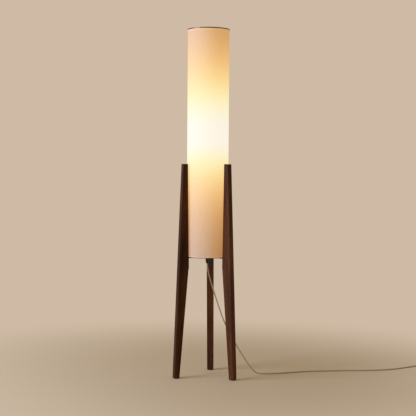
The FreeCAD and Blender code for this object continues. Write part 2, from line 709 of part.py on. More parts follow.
def swept_cord(name, path):
    """Round lead along a path, its volume compared with its section times its length."""
    first = path.Edges[0]
    direction = first.tangentAt(first.FirstParameter)
    section = Part.Wire(Part.makeCircle(CORD_RADIUS, first.valueAt(first.FirstParameter), direction))
    solid = path.makePipeShell([section], True, False)
    ratio = solid.Volume / (math.pi * CORD_RADIUS ** 2 * path.Length)
    print(f"{name}: {path.Length:.0f} mm long, volume ratio {ratio:.4f}")
    return solid


def coil_point(turn):
    """Centre line of the coil after some turns, wound clockwise from its +X side."""
    inward = min(turn, 2 * COIL_REVERSE - turn)
    radius = COIL_RADIUS - COIL_PITCH * inward
    share = (turn - COIL_REVERSE) / COIL_CLIMB + 0.5
    share = min(max(share, 0.0), 1.0)
    height = COIL_LOW + (COIL_HIGH - COIL_LOW) * share * share * (3 - 2 * share)
    angle = -2 * math.pi * turn
    return Vector(COIL_X + radius * math.cos(angle), COIL_Y + radius * math.sin(angle), height)


def coil_heading(turn):
    """Unit tangent of the coil's centre line, square to the radius at its two ends."""
    if turn in (0.0, COIL_TURNS):
        angle = -2 * math.pi * turn
        return Vector(math.sin(angle), -math.cos(angle), 0)
    step = 0.01
    return (coil_point(turn + step) - coil_point(turn - step)).normalize()


def biarc(start, leaving, end, arriving):
    """Two tangent arcs between two points with given headings."""
    chord = end - start
    both = leaving + arriving
    a = 2 * (1 - leaving.dot(arriving))
    b = 2 * chord.dot(both)
    reach = (math.sqrt(b * b + 4 * a * chord.dot(chord)) - b) / (2 * a)
    middle = (start + leaving * reach + end - arriving * reach) * 0.5
    arcs = []
    spans = (
        (start, middle, start + leaving * reach),
        (middle, end, end - arriving * reach),
    )
    for near, far, corner in spans:
        chord_middle = (near + far) * 0.5
        half = (far - near).Length / 2
        rise = (corner - chord_middle).Length
        inward = (corner - chord_middle).normalize()
        sagitta = half * math.tan(math.atan2(rise, half) / 2)
        arcs.append(Part.Arc(near, chord_middle + inward * sagitta, far).toShape())
    return arcs


def coil_path():
    """Quarter-turn biarcs along the coil, with a straight diameter at each end."""
    steps = round(COIL_TURNS * 4)
    turns = [i * COIL_TURNS / steps for i in range(steps + 1)]
    start, end = coil_point(0.0), coil_point(COIL_TURNS)
    edges = [Part.makeLine(start - coil_heading(0.0) * CORD_DIAMETER, start)]
    for before, after in zip(turns, turns[1:]):
        start_point, end_point = coil_point(before), coil_point(after)
        edges += biarc(start_point, coil_heading(before), end_point, coil_heading(after))
    edges.append(Part.makeLine(end, end + coil_heading(COIL_TURNS) * CORD_DIAMETER))
    return Part.Wire(edges)


def print_coil_gap(path):
    """Print the least gap between neighbouring turns, measured on points along the coil."""
    points = path.discretize(Number=GAP_SAMPLES)
    spacing = path.Length / (GAP_SAMPLES - 1)
    apart = int(math.pi * COIL_RADIUS / 2 / spacing)
    gaps = [
        (points[i] - points[j]).Length
        for i in range(len(points))
        for j in range(i + apart, len(points))
    ]
    print(f"coil: least gap between turns {min(gaps) - CORD_DIAMETER:.2f} mm")


def cord_tie():
    """Flat band round the bundle of turns, on the coil's -X side."""
    passes = [coil_point(turn + 0.5).x for turn in range(int(COIL_TURNS))]
    near = max(passes) + CORD_RADIUS + TIE_GAP + TIE_BOW
    far = min(passes) - CORD_RADIUS - TIE_GAP
    low, high = COIL_LOW - CORD_RADIUS - TIE_GAP, COIL_HIGH + CORD_RADIUS + TIE_GAP
    half = TIE_WIDTH / 2
    hollow = box((far, COIL_Y - half, low), (near, COIL_Y + half, high))
    band = box(
        (far - TIE_WALL, COIL_Y - half, low - TIE_WALL),
        (near + TIE_WALL, COIL_Y + half, high + TIE_WALL),
    )

    def along(a, b):
        return abs(a.y - b.y) > half

    hollow = hollow.makeFillet(CORD_RADIUS / 2, edges_where(hollow, along))
    band = band.makeFillet(CORD_RADIUS / 2 + TIE_WALL, edges_where(band, along))
    return band.cut(hollow)


# Foot switch and plug

def taper(start, direction, length, near, far):
    """Rubber relief sleeve round the lead."""
    sleeve = Part.makeCone(near, far, length)
    bore = Part.makeCylinder(CORD_RADIUS, length)
    return laid(sleeve.cut(bore), start, direction)


def stadium(length, width, low, high):
    """Solid with straight sides and round ends, centred on the origin along X."""
    half = (length - width) / 2
    middle = box((-half, -width / 2, low), (half, width / 2, high))
    ends = [Part.makeCylinder(width / 2, high - low, Vector(x, 0, low)) for x in (-half, half)]
    return middle.fuse(ends).removeSplitter()


def upright_rod(x, radius, low, high):
    """Upright cylinder on the line of the switch's screws."""
    return Part.makeCylinder(radius, high - low, Vector(x, SWITCH_SCREW_ACROSS, low))


def switch_parts():
    """Foot switch on the lead: base, cover, button, mechanism, screws and relief sleeves."""
    start = DROP_ROUTE[-1]
    x0 = start[0] + RELIEF_LENGTH
    centre = Vector(x0 + SWITCH_LENGTH / 2, start[1], 0)
    low, top = SWITCH_FOOT, SWITCH_FOOT + SWITCH_HEIGHT
    split = low + SWITCH_BASE_HEIGHT
    base = stadium(SWITCH_LENGTH, SWITCH_WIDTH, low, split)
    base = base.makeFillet(SWITCH_WALL / 2, edges_where(base, lambda a, b: max(a.z, b.z) < low + HAIR))
    inner_length = SWITCH_LENGTH - 2 * SWITCH_WALL
    inner_width = SWITCH_WIDTH - 2 * SWITCH_WALL
    tray = stadium(inner_length, inner_width, low + SWITCH_WALL, split)
    cover = stadium(SWITCH_LENGTH, SWITCH_WIDTH, split, top)
    cover = cover.makeFillet(SWITCH_EDGE, edges_where(cover, lambda a, b: min(a.z, b.z) > top - HAIR))
    room = stadium(inner_length, inner_width, split, top - SWITCH_WALL)
    mouth = Part.makeCylinder(BUTTON_RADIUS + BUTTON_GAP, SWITCH_HEIGHT, Vector(0, 0, split))
    entry = Vector(-SWITCH_LENGTH / 2, 0, SWITCH_AXIS)
    lead = Part.makeCylinder(CORD_RADIUS, SWITCH_LENGTH, entry, Vector(1, 0, 0))
    flange_top = top - SWITCH_WALL - BUTTON_GAP
    flange_low = flange_top - BUTTON_FLANGE
    button = Part.makeCylinder(BUTTON_RADIUS, top + BUTTON_HEIGHT - flange_low, Vector(0, 0, flange_low))
    button = button.makeFillet(BUTTON_EDGE, edges_where(button, lambda a, b: min(a.z, b.z) > top))
    flange = Part.makeCylinder(BUTTON_FLANGE_RADIUS, BUTTON_FLANGE, Vector(0, 0, flange_low))
    button = button.fuse(flange)
    core_top = flange_low - BUTTON_TRAVEL - BUTTON_GAP
    core_x = SWITCH_SCREW_ALONG - SWITCH_SCREW_HEAD - SWITCH_POST_WALL - BUTTON_GAP
    core_y = inner_width / 2 - BUTTON_GAP
    core = box((-core_x, -core_y, low + SWITCH_WALL), (core_x, core_y, core_top))
    head_low = low + SWITCH_SCREW_SUNK
    head_top = head_low + SWITCH_SCREW_HEAD_THICKNESS
    screw_top = split + SWITCH_SCREW_BITE
    screws, base_posts, cover_posts, holes = [], [], [], []
    for x in (-SWITCH_SCREW_ALONG, SWITCH_SCREW_ALONG):
        head = upright_rod(x, SWITCH_SCREW_HEAD, head_low, head_top)
        shank = upright_rod(x, SWITCH_SCREW_RADIUS, head_top, screw_top)
        screws.append(head.fuse(shank))
        base_posts.append(upright_rod(x, SWITCH_SCREW_HEAD + SWITCH_POST_WALL, low, split))
        cover_posts.append(upright_rod(x, SWITCH_SCREW_RADIUS + SWITCH_POST_WALL, split, top - SWITCH_WALL))
        holes.append(upright_rod(x, SWITCH_SCREW_RADIUS + PILOT_CLEARANCE, low, screw_top + PILOT_CLEARANCE))
        holes.append(upright_rod(x, SWITCH_SCREW_HEAD + PILOT_CLEARANCE, low, head_top))
    base = base.cut(tray).fuse(base_posts).removeSplitter().cut(holes + [lead])
    cover = cover.cut(room).fuse(cover_posts).removeSplitter().cut(holes + [lead, mouth])
    parts = {
        "switch_base": base,
        "switch_cover": cover,
        "switch_button": button.removeSplitter(),
        "switch_mechanism": core,
        "switch_screws": Part.makeCompound(screws),
    }
    parts = {name: shape.translated(centre) for name, shape in parts.items()}
    root, tip = CORD_RADIUS + RELIEF_ROOT_WALL, CORD_RADIUS + RELIEF_TIP_WALL
    inlet = (x0, start[1], SWITCH_AXIS)
    outlet = (x0 + SWITCH_LENGTH, start[1], SWITCH_AXIS)
    parts["switch_relief_in"] = taper(inlet, (-1, 0, 0), RELIEF_LENGTH, root, tip)
    parts["switch_relief_out"] = taper(outlet, (1, 0, 0), RELIEF_LENGTH, root, tip)
    return parts


def plug_parts():
    """Flat two-pin plug at the end of the lead, lying beside the coil."""
    x, y, z = END_ROUTE[-1]
    back = x - PLUG_RELIEF_LENGTH
    front = back - PLUG_LENGTH
    low = z - PLUG_THICKNESS / 2
    shoulder = back - PLUG_GRIP_LENGTH
    middle = back - PLUG_GRIP_LENGTH / 2

    def corner(along, width):
        return Vector(along, y + width / 2, low)

    edges = [Part.makeLine(corner(back, -PLUG_REAR_WIDTH), corner(back, PLUG_REAR_WIDTH))]
    for way in (1, -1):
        rear, waist = corner(back, way * PLUG_REAR_WIDTH), corner(middle, way * PLUG_WAIST)
        full, face = corner(shoulder, way * PLUG_WIDTH), corner(front, way * PLUG_WIDTH)
        edges += [Part.Arc(rear, waist, full).toShape(), Part.makeLine(full, face)]
    edges.append(Part.makeLine(corner(front, PLUG_WIDTH), corner(front, -PLUG_WIDTH)))
    outline = Part.Wire(Part.__sortEdges__(edges))
    body = Part.Face(outline).extrude(Vector(0, 0, PLUG_THICKNESS))
    body = body.makeFillet(PLUG_EDGE, body.Edges)
    pins = []
    for side in (-1, 1):
        centre = Vector(front, y + side * PIN_SPACING / 2, z)
        pin = Part.makeCylinder(PIN_RADIUS, PIN_LENGTH, centre, Vector(-1, 0, 0))
        tip = edges_where(pin, lambda a, b: max(a.x, b.x) < front - PIN_LENGTH / 2)
        pins.append(pin.makeFillet(PIN_TIP_EDGE, tip))
    tip_radius = CORD_RADIUS + PLUG_RELIEF_TIP_WALL
    relief = taper((back, y, z), (1, 0, 0), PLUG_RELIEF_LENGTH, PLUG_RELIEF_RADIUS, tip_radius)
    return {"plug_body": body, "plug_pins": Part.makeCompound(pins), "plug_relief": relief}


def frame_parts():
    """Legs, pads, bracket, hub stack, riser and lampholder."""
    parts = {}
    for side in LEG_ANGLES:
        parts[f"leg_{side}"] = at_leg(leg(), side)
        parts[f"foot_pad_{side}"] = at_leg(foot_pad(), side)
    parts["pad_nails"] = at_every_leg(pad_nail())
    parts["leg_bracket"] = leg_bracket()
    parts["leg_screws"] = at_every_leg(Part.makeCompound(at_screws(screw())))
    parts["hub_washer_lower"] = ring(WASHER_RADIUS, RISER_RADIUS, LOWER_NUT_TOP, ARM_BOTTOM)
    upper_nut_low = ARM_TOP + WASHER_THICKNESS
    parts["hub_washer_upper"] = ring(WASHER_RADIUS, RISER_RADIUS, ARM_TOP, upper_nut_low)
    parts["hub_nut_lower"] = hex_nut(GRIP_TOP)
    parts["hub_nut_upper"] = hex_nut(upper_nut_low)
    parts["cord_grip"] = cord_grip()
    parts["riser_tube"] = ring(RISER_RADIUS, RISER_BORE, RISER_BOTTOM, RISER_TOP)
    parts["holder_dome"] = holder_dome()
    parts["holder_set_screw"] = holder_set_screw()
    parts["holder_sleeve"] = holder_sleeve()
    parts["holder_insert"] = holder_insert()
    parts["holder_shell"] = holder_shell()
    parts["holder_contact"] = holder_contact()
    return parts


def lead_parts():
    """The lead inside the riser, its two cores, the free lead on the floor, the coil and its tie."""
    core = Part.makeCylinder(CORE_RADIUS, CORE_LENGTH + CORE_SOCKET, Vector(0, 0, LEAD_TOP))
    coil = coil_path()
    print_coil_gap(coil)
    return {
        "inner_lead": Part.makeCylinder(CORD_RADIUS, LEAD_TOP - GRIP_END, Vector(0, 0, GRIP_END)),
        "lead_cores": Part.makeCompound(core_pair(core)),
        "cord_drop": swept_cord("cord_drop", rounded_path("cord_drop", DROP_ROUTE)),
        "cord_lead": swept_cord("cord_lead", rounded_path("cord_lead", LEAD_ROUTE)),
        "cord_coil": swept_cord("cord_coil", coil),
        "cord_end": swept_cord("cord_end", rounded_path("cord_end", END_ROUTE)),
        "cord_tie": cord_tie(),
    }


def main():
    """Build every piece, move the lamp's base centre to the origin, and write one file per piece."""
    os.makedirs("parts", exist_ok=True)
    parts = {}
    for group in (frame_parts(), shade_parts(), bulb_parts(), lead_parts(), switch_parts(), plug_parts()):
        parts.update(group)
    rear = outer_face(PAD_THICKNESS)
    splay = math.radians(LEG_ANGLES["right"])
    feet_front = -rear * math.sin(splay) + LEG_WIDTH / 2 * math.cos(splay)
    front = max(TRIM_OUT, feet_front)
    to_origin = Vector(0, (front - rear) / 2, 0)
    for name, shape in parts.items():
        shape.translated(to_origin).exportStep(f"parts/{name}.step")
    print(f"{len(parts)} pieces, axis at y = {to_origin.y:.2f} mm")


main()
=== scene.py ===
"""Looks of the column floor lamp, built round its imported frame.

A tall linen shade stands between three walnut legs on a folded black bracket, a lit bulb glows
inside it, and a braided lead runs down and along the floor to a foot switch, a tied coil and a plug.
The frame gives every rigid piece; this file gives the finishes, the cloth, the lead and the fine
forms such as threads, ribs and screw heads. Lengths are metres, and MM turns millimetres into them.
"""

import logging
import math
from collections.abc import Callable, Sequence
from dataclasses import dataclass, field
from enum import Enum

import bmesh
import bpy
import numpy as np
from mathutils import Matrix, Vector


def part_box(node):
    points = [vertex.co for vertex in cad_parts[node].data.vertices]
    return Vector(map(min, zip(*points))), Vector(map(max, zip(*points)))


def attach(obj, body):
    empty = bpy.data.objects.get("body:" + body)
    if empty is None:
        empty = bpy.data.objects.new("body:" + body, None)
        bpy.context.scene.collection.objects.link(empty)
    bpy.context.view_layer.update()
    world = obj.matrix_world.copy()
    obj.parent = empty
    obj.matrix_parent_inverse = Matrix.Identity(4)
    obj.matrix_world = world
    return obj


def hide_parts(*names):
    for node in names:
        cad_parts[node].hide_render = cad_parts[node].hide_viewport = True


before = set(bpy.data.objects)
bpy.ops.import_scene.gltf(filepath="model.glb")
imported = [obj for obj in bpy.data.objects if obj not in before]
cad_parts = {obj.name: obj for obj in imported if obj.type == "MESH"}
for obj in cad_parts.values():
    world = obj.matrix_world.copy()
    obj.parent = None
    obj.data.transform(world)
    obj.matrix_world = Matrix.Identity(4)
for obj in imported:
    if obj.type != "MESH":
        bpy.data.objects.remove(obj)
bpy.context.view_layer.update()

MM = 0.001
TAU = 2 * math.pi
# Points nearer than this become one, and edges under a tenth of it go
MERGE_GAP = 0.001 * MM
log = logging.getLogger("column_lamp")

Pair = tuple[float, float]
Triple = tuple[float, float, float]
# What is added to a radius, from angles and heights
Relief = Callable[[np.ndarray, np.ndarray], np.ndarray]

SHADE_LOW, SHADE_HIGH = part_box("shade_fabric")
AXIS = ((SHADE_LOW.x + SHADE_HIGH.x) / 2, (SHADE_LOW.y + SHADE_HIGH.y) / 2)


class Body(Enum):
    """The bodies that pieces ride on."""

    FRAME = "frame"
    SHADE = "shade"
    BULB = "bulb"
    BUTTON = "switch_button"


# Nodes and colours

def linear(code: str) -> tuple[float, float, float, float]:
    """Turn an sRGB hex colour into the linear colour that shaders take.

    Formula: the sRGB curve, c / 12.92 up to 0.04045 and ((c + 0.055) / 1.055)^2.4 above it.

    Args:
        code: six hex digits after a hash sign.

    Returns:
        Linear red, green and blue, and an alpha of one.
    """
    coded = [int(code[start:start + 2], 16) / 255 for start in (1, 3, 5)]
    return (*(c / 12.92 if c <= 0.04045 else ((c + 0.055) / 1.055) ** 2.4 for c in coded), 1.0)


def add_node(
    tree: bpy.types.NodeTree, kind: str, inputs: dict | None = None, **settings: object
) -> bpy.types.Node:
    """Add one node with its settings, values and links.

    Args:
        tree: the node tree.
        kind: the node's type.
        inputs: an input's name or number, with its value, the socket that drives it, or the node
            whose first output does.
        settings: properties of the node.

    Returns:
        The new node.
    """
    node = tree.nodes.new(kind)
    for name, value in settings.items():
        setattr(node, name, value)
    for key, value in (inputs or {}).items():
        source = value.outputs[0] if isinstance(value, bpy.types.Node) else value
        if isinstance(source, bpy.types.NodeSocket):
            tree.links.new(source, node.inputs[key])
        else:
            node.inputs[key].default_value = source
    return node


def new_material(name: str) -> bpy.types.Material:
    """Make a material whose node tree is empty.

    Args:
        name: the finish's name.

    Returns:
        The material.
    """
    material = bpy.data.materials.new(name)
    material.use_nodes = True
    material.node_tree.nodes.clear()
    return material


def wave_scale(spacing: float) -> float:
    """Scale at which a wave texture's lines lie this far apart: its sine runs at 20 times the scale."""
    return TAU / 20 / spacing


# Surfaces on grids

@dataclass
class Patch:
    """A grid of points, which may close on itself along its rows, its columns or both."""

    points: np.ndarray
    wrap_rows: bool
    wrap_columns: bool
    uv: np.ndarray

    def faces(self) -> tuple[np.ndarray, np.ndarray]:
        """Work out the grid's quads.

        Returns:
            The corners' numbers as (faces, 4), and their UVs as (faces, 4, 2) metres.
        """
        rows, columns = self.points.shape[:2]
        row = np.arange(rows if self.wrap_rows else rows - 1)
        column = np.arange(columns if self.wrap_columns else columns - 1)
        row, column = (a.ravel() for a in np.meshgrid(row, column, indexing="ij"))
        corners = [(row, column), (row, column + 1), (row + 1, column + 1), (row + 1, column)]
        quads = np.stack([(r % rows) * columns + c % columns for r, c in corners], -1)
        return quads, np.stack([self.uv[r, c] for r, c in corners], 1)


def length_along(points: np.ndarray) -> np.ndarray:
    """Running length along a line of points, starting at 0."""
    steps = np.linalg.norm(np.diff(points, axis=0), axis=1)
    return np.concatenate([[0.0], np.cumsum(steps)])


def uv_grid(across: np.ndarray, down: np.ndarray) -> np.ndarray:
    """UVs of a grid, from the running lengths across its columns and down its rows."""
    return np.stack(np.broadcast_arrays(across[None, :], down[:, None]), -1)


def mesh_points(mesh: bpy.types.Mesh) -> np.ndarray:
    """Read a mesh's points.

    Args:
        mesh: the mesh.

    Returns:
        The points, as rows of x, y and z.
    """
    points = np.empty(len(mesh.vertices) * 3)
    mesh.vertices.foreach_get("co", points)
    return points.reshape(-1, 3)


def make_piece(name: str, patches: Sequence[Patch], sharp_deg: float = 35.0) -> bpy.types.Object:
    """Turn patches into one closed mesh piece at the origin, its faces pointing outwards.

    Args:
        name: the piece's name.
        patches: its surfaces; rows that shrink to a point close it as poles.
        sharp_deg: edges that turn by more than this stay sharp.

    Returns:
        The piece's object, linked into the scene.
    """
    points, quads, uvs, offset = [], [], [], 0
    for patch in patches:
        faces, uv = patch.faces()
        points.append(patch.points.reshape(-1, 3))
        quads.append(faces + offset)
        uvs.append(uv)
        offset += len(points[-1])
    points, quads, uvs = np.concatenate(points), np.concatenate(quads), np.concatenate(uvs)
    mesh = bpy.data.meshes.new(name)
    mesh.vertices.add(len(points))
    mesh.vertices.foreach_set("co", points.astype(np.float32).ravel())
    mesh.loops.add(quads.size)
    mesh.loops.foreach_set("vertex_index", quads.astype(np.int32).ravel())
    mesh.polygons.add(len(quads))
    mesh.polygons.foreach_set("loop_start", np.arange(0, quads.size, 4, dtype=np.int32))
    mesh.update(calc_edges=True)
    layer = mesh.uv_layers.new(name="surface")
    layer.data.foreach_set("uv", uvs.astype(np.float32).ravel())
    work = bmesh.new()
    work.from_mesh(mesh)
    bmesh.ops.remove_doubles(work, verts=work.verts, dist=MERGE_GAP)
    bmesh.ops.dissolve_degenerate(work, dist=MERGE_GAP / 10, edges=work.edges)
    bmesh.ops.recalc_face_normals(work, faces=work.faces)
    work.to_mesh(mesh)
    work.free()
    mesh.shade_smooth()
    mesh.set_sharp_from_angle(angle=math.radians(sharp_deg))
    piece = bpy.data.objects.new(name, mesh)
    bpy.context.scene.collection.objects.link(piece)
    return piece


def softened(corners: Sequence[Pair], cut: float, steps: int = 4) -> np.ndarray:
    """Closed outline with its corners eased.

    Formula: each corner P gives way to the quadratic curve (1-t)^2 A + 2t(1-t) P + t^2 B, where A
    and B lie on its two sides, the cut or a third of the side away, whichever is less.

    Args:
        corners: the outline's corners in order.
        cut: how much of each side a corner takes.
        steps: spans per corner.

    Returns:
        The outline's points.
    """
    corner = np.array(corners, float)
    share = np.linspace(0, 1, steps + 1)[None, :, None]
    ends = []
    for neighbour in (1, -1):
        side = np.roll(corner, neighbour, axis=0) - corner
        length = np.linalg.norm(side, axis=1, keepdims=True)
        ends.append((corner + side * np.minimum(cut / length, 1 / 3))[:, None])
    curve = (1 - share) ** 2 * ends[0] + 2 * share * (1 - share) * corner[:, None] + share ** 2 * ends[1]
    return curve.reshape(-1, 2)


def band_profile(inner: float, outer: float, low: float, high: float) -> list[Pair]:
    """Corners of a ring's section, from its inner lower one."""
    return [(inner, low), (outer, low), (outer, high), (inner, high)]


def wall(radius: float, start: float, end: float, rows: int) -> np.ndarray:
    """Profile points of an upright wall at one radius, from one height to another."""
    return np.stack([np.full(rows, radius), np.linspace(start, end, rows)], -1)


def turned(
    profile: np.ndarray,
    segments: int,
    centre: Pair = AXIS,
    closed: bool = True,
    relief: Relief | None = None,
    relief_rows: slice = slice(None),
) -> Patch:
    """Surface of revolution about an upright axis.

    Formula: x = cx + r cos a, y = cy + r sin a, z = h, for each profile point (r, h) and angle a,
    where r has the relief at (a, h) added.

    Args:
        profile: (radius, height) points.
        segments: steps round the axis.
        centre: where the axis stands.
        closed: whether the profile is a closed loop; an open one starts and ends on the axis.
        relief: what is added to the radius, from angle and height.
        relief_rows: the profile points that have it.

    Returns:
        The patch, with UVs in metres: round the widest radius, and along the profile.
    """
    angle = np.arange(segments) / segments * TAU
    radius, height = profile[:, :1] + 0 * angle, profile[:, 1:] + 0 * angle
    if relief is not None:
        radius[relief_rows] += relief(angle[None, :], height[relief_rows])
    x, y = centre[0] + radius * np.cos(angle), centre[1] + radius * np.sin(angle)
    loop = np.concatenate([profile, profile[:1]]) if closed else profile
    around = np.arange(segments + 1) / segments * TAU * profile[:, 0].max()
    return Patch(np.stack([x, y, height], -1), closed, True, uv_grid(around, length_along(loop)))


def thread(pitch: float, depth: float, low: float, high: float) -> Relief:
    """Relief of a rolled right-hand screw thread between two heights.

    Formula: -depth (1 - cos(2 pi (h - low) / pitch - a)) / 2 at height h and angle a, faded in and
    out over one pitch.

    Args:
        pitch: height of one turn.
        depth: from crest to root.
        low: where the thread starts.
        high: where it ends.

    Returns:
        The relief, from angle and height.
    """

    def relief(angle: np.ndarray, height: np.ndarray) -> np.ndarray:
        """What the thread adds to the radius."""
        fade = np.clip((height - low) / pitch, 0, 1) * np.clip((high - height) / pitch, 0, 1)
        return -depth * fade * (1 - np.cos(TAU * (height - low) / pitch - angle)) / 2

    return relief


def tube(rings: np.ndarray, middle: np.ndarray, around: np.ndarray, along: np.ndarray) -> Patch:
    """Run of rings, closed by a first and a last row that shrink to the middle.

    Args:
        rings: (rings, points, 3) points.
        middle: a point inside each ring.
        around: running length round a ring.
        along: running length from ring to ring.

    Returns:
        The patch, with UVs in metres round and along it.
    """
    pole = np.broadcast_to(middle[:, None], rings.shape)
    points = np.concatenate([pole[:1], rings, pole[-1:]])
    return Patch(points, False, True, uv_grid(around, np.pad(along, 1, mode="edge")))


def swept(path: np.ndarray, reference: Sequence[float], radius: np.ndarray) -> Patch:
    """Closed tube along a path.

    Formula: with the path's unit tangent t, s = t x reference made unit, and o = s x t, the point at
    angle a is p + r (cos a s + sin a o).

    Args:
        path: points that the tube follows.
        reference: a direction that the path never takes.
        radius: (path points, sides) radii.

    Returns:
        The patch.
    """
    tangent = np.gradient(path, axis=0)
    tangent /= np.linalg.norm(tangent, axis=1, keepdims=True)
    side = np.cross(tangent, np.array(reference, float))
    side /= np.linalg.norm(side, axis=1, keepdims=True)
    over = np.cross(side, tangent)
    sides = radius.shape[1]
    angle = np.arange(sides) / sides * TAU
    ring = np.cos(angle)[None, :, None] * side[:, None] + np.sin(angle)[None, :, None] * over[:, None]
    around = np.arange(sides + 1) / sides * TAU * radius.max()
    return tube(path[:, None] + radius[:, :, None] * ring, path, around, length_along(path))


# Pieces and the frame's own nodes

def ring_sizes(node: str) -> tuple[float, float, float, float]:
    """Measure a ring of the frame about the lamp's axis.

    Args:
        node: the ring's name.

    Returns:
        Inner radius, outer radius, lowest and highest height.
    """
    low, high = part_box(node)
    radius = np.hypot(*(mesh_points(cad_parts[node].data)[:, :2] - np.array(AXIS)).T)
    return radius.min(), radius.max(), low.z, high.z


def settle(
    piece: bpy.types.Object, body: Body, slot: str, finish: bpy.types.Material, *stands_for: str
) -> bpy.types.Object:
    """Dress a new piece, tie it to its body and hide the nodes it stands for.

    Args:
        piece: the new piece.
        body: the body that it rides on.
        slot: not used.
        finish: its material.
        stands_for: nodes that it replaces.

    Returns:
        The piece.
    """
    piece.data.materials.clear()
    piece.data.materials.append(finish)
    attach(piece, body.value)
    if stands_for:
        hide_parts(*stands_for)
    return piece


def dress(finish: bpy.types.Material, *nodes: str) -> list[bpy.types.Object]:
    """Give the frame's own pieces a finish.

    Args:
        finish: the material.
        nodes: the pieces' names.

    Returns:
        The pieces.
    """
    pieces = [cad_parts[name] for name in nodes]
    for piece in pieces:
        for place in piece.material_slots:
            place.material = finish
    return pieces


# Finishes

@dataclass(frozen=True)
class PlainFinish:
    """A moulded, plated or painted finish with soft patches of tone and a fine surface grain."""

    name: str
    base: str
    patch_tone: str
    roughness: Pair
    patch: float = 12 * MM
    patch_range: Pair = (0.35, 0.65)
    grain: float = 0.6 * MM
    relief: float = 0.03 * MM
    metallic: float = 0.0
    ior: float = 1.5
    coat: float = 0.0
    stretch: Triple = (1.0, 1.0, 1.0)
    emission: str = "#000000"
    emission_strength: float = 0.0

    def build(self) -> bpy.types.Material:
        """Build the material from two noises: broad patches for tone, fine grain for gloss and bump.

        Returns:
            The material.
        """
        material = new_material(self.name)
        tree = material.node_tree
        place = add_node(tree, "ShaderNodeTexCoord").outputs["Object"]
        stretched = add_node(tree, "ShaderNodeMapping", {0: place, "Scale": self.stretch})
        broad, fine = (
            add_node(tree, "ShaderNodeTexNoise", {"Vector": where, "Scale": 1 / size, "Detail": detail})
            for where, size, detail in ((place, self.patch, 3.0), (stretched, self.grain, 2.0))
        )
        low, high = self.patch_range
        spread = add_node(tree, "ShaderNodeMapRange", {"Value": broad, "From Min": low, "From Max": high})
        tones = {0: spread, 6: linear(self.base), 7: linear(self.patch_tone)}
        gloss = {"Value": fine, "To Min": self.roughness[0], "To Max": self.roughness[1]}
        relief = {"Height": fine, "Distance": self.relief, "Strength": 1.0}
        look = {
            "Base Color": add_node(tree, "ShaderNodeMix", tones, data_type="RGBA").outputs[2],
            "Roughness": add_node(tree, "ShaderNodeMapRange", gloss),
            "Normal": add_node(tree, "ShaderNodeBump", relief),
            "Metallic": self.metallic,
            "IOR": self.ior,
            "Coat Weight": self.coat,
            "Emission Color": linear(self.emission),
            "Emission Strength": self.emission_strength,
        }
        shader = add_node(tree, "ShaderNodeBsdfPrincipled", look)
        add_node(tree, "ShaderNodeOutputMaterial", {"Surface": shader})
        return material


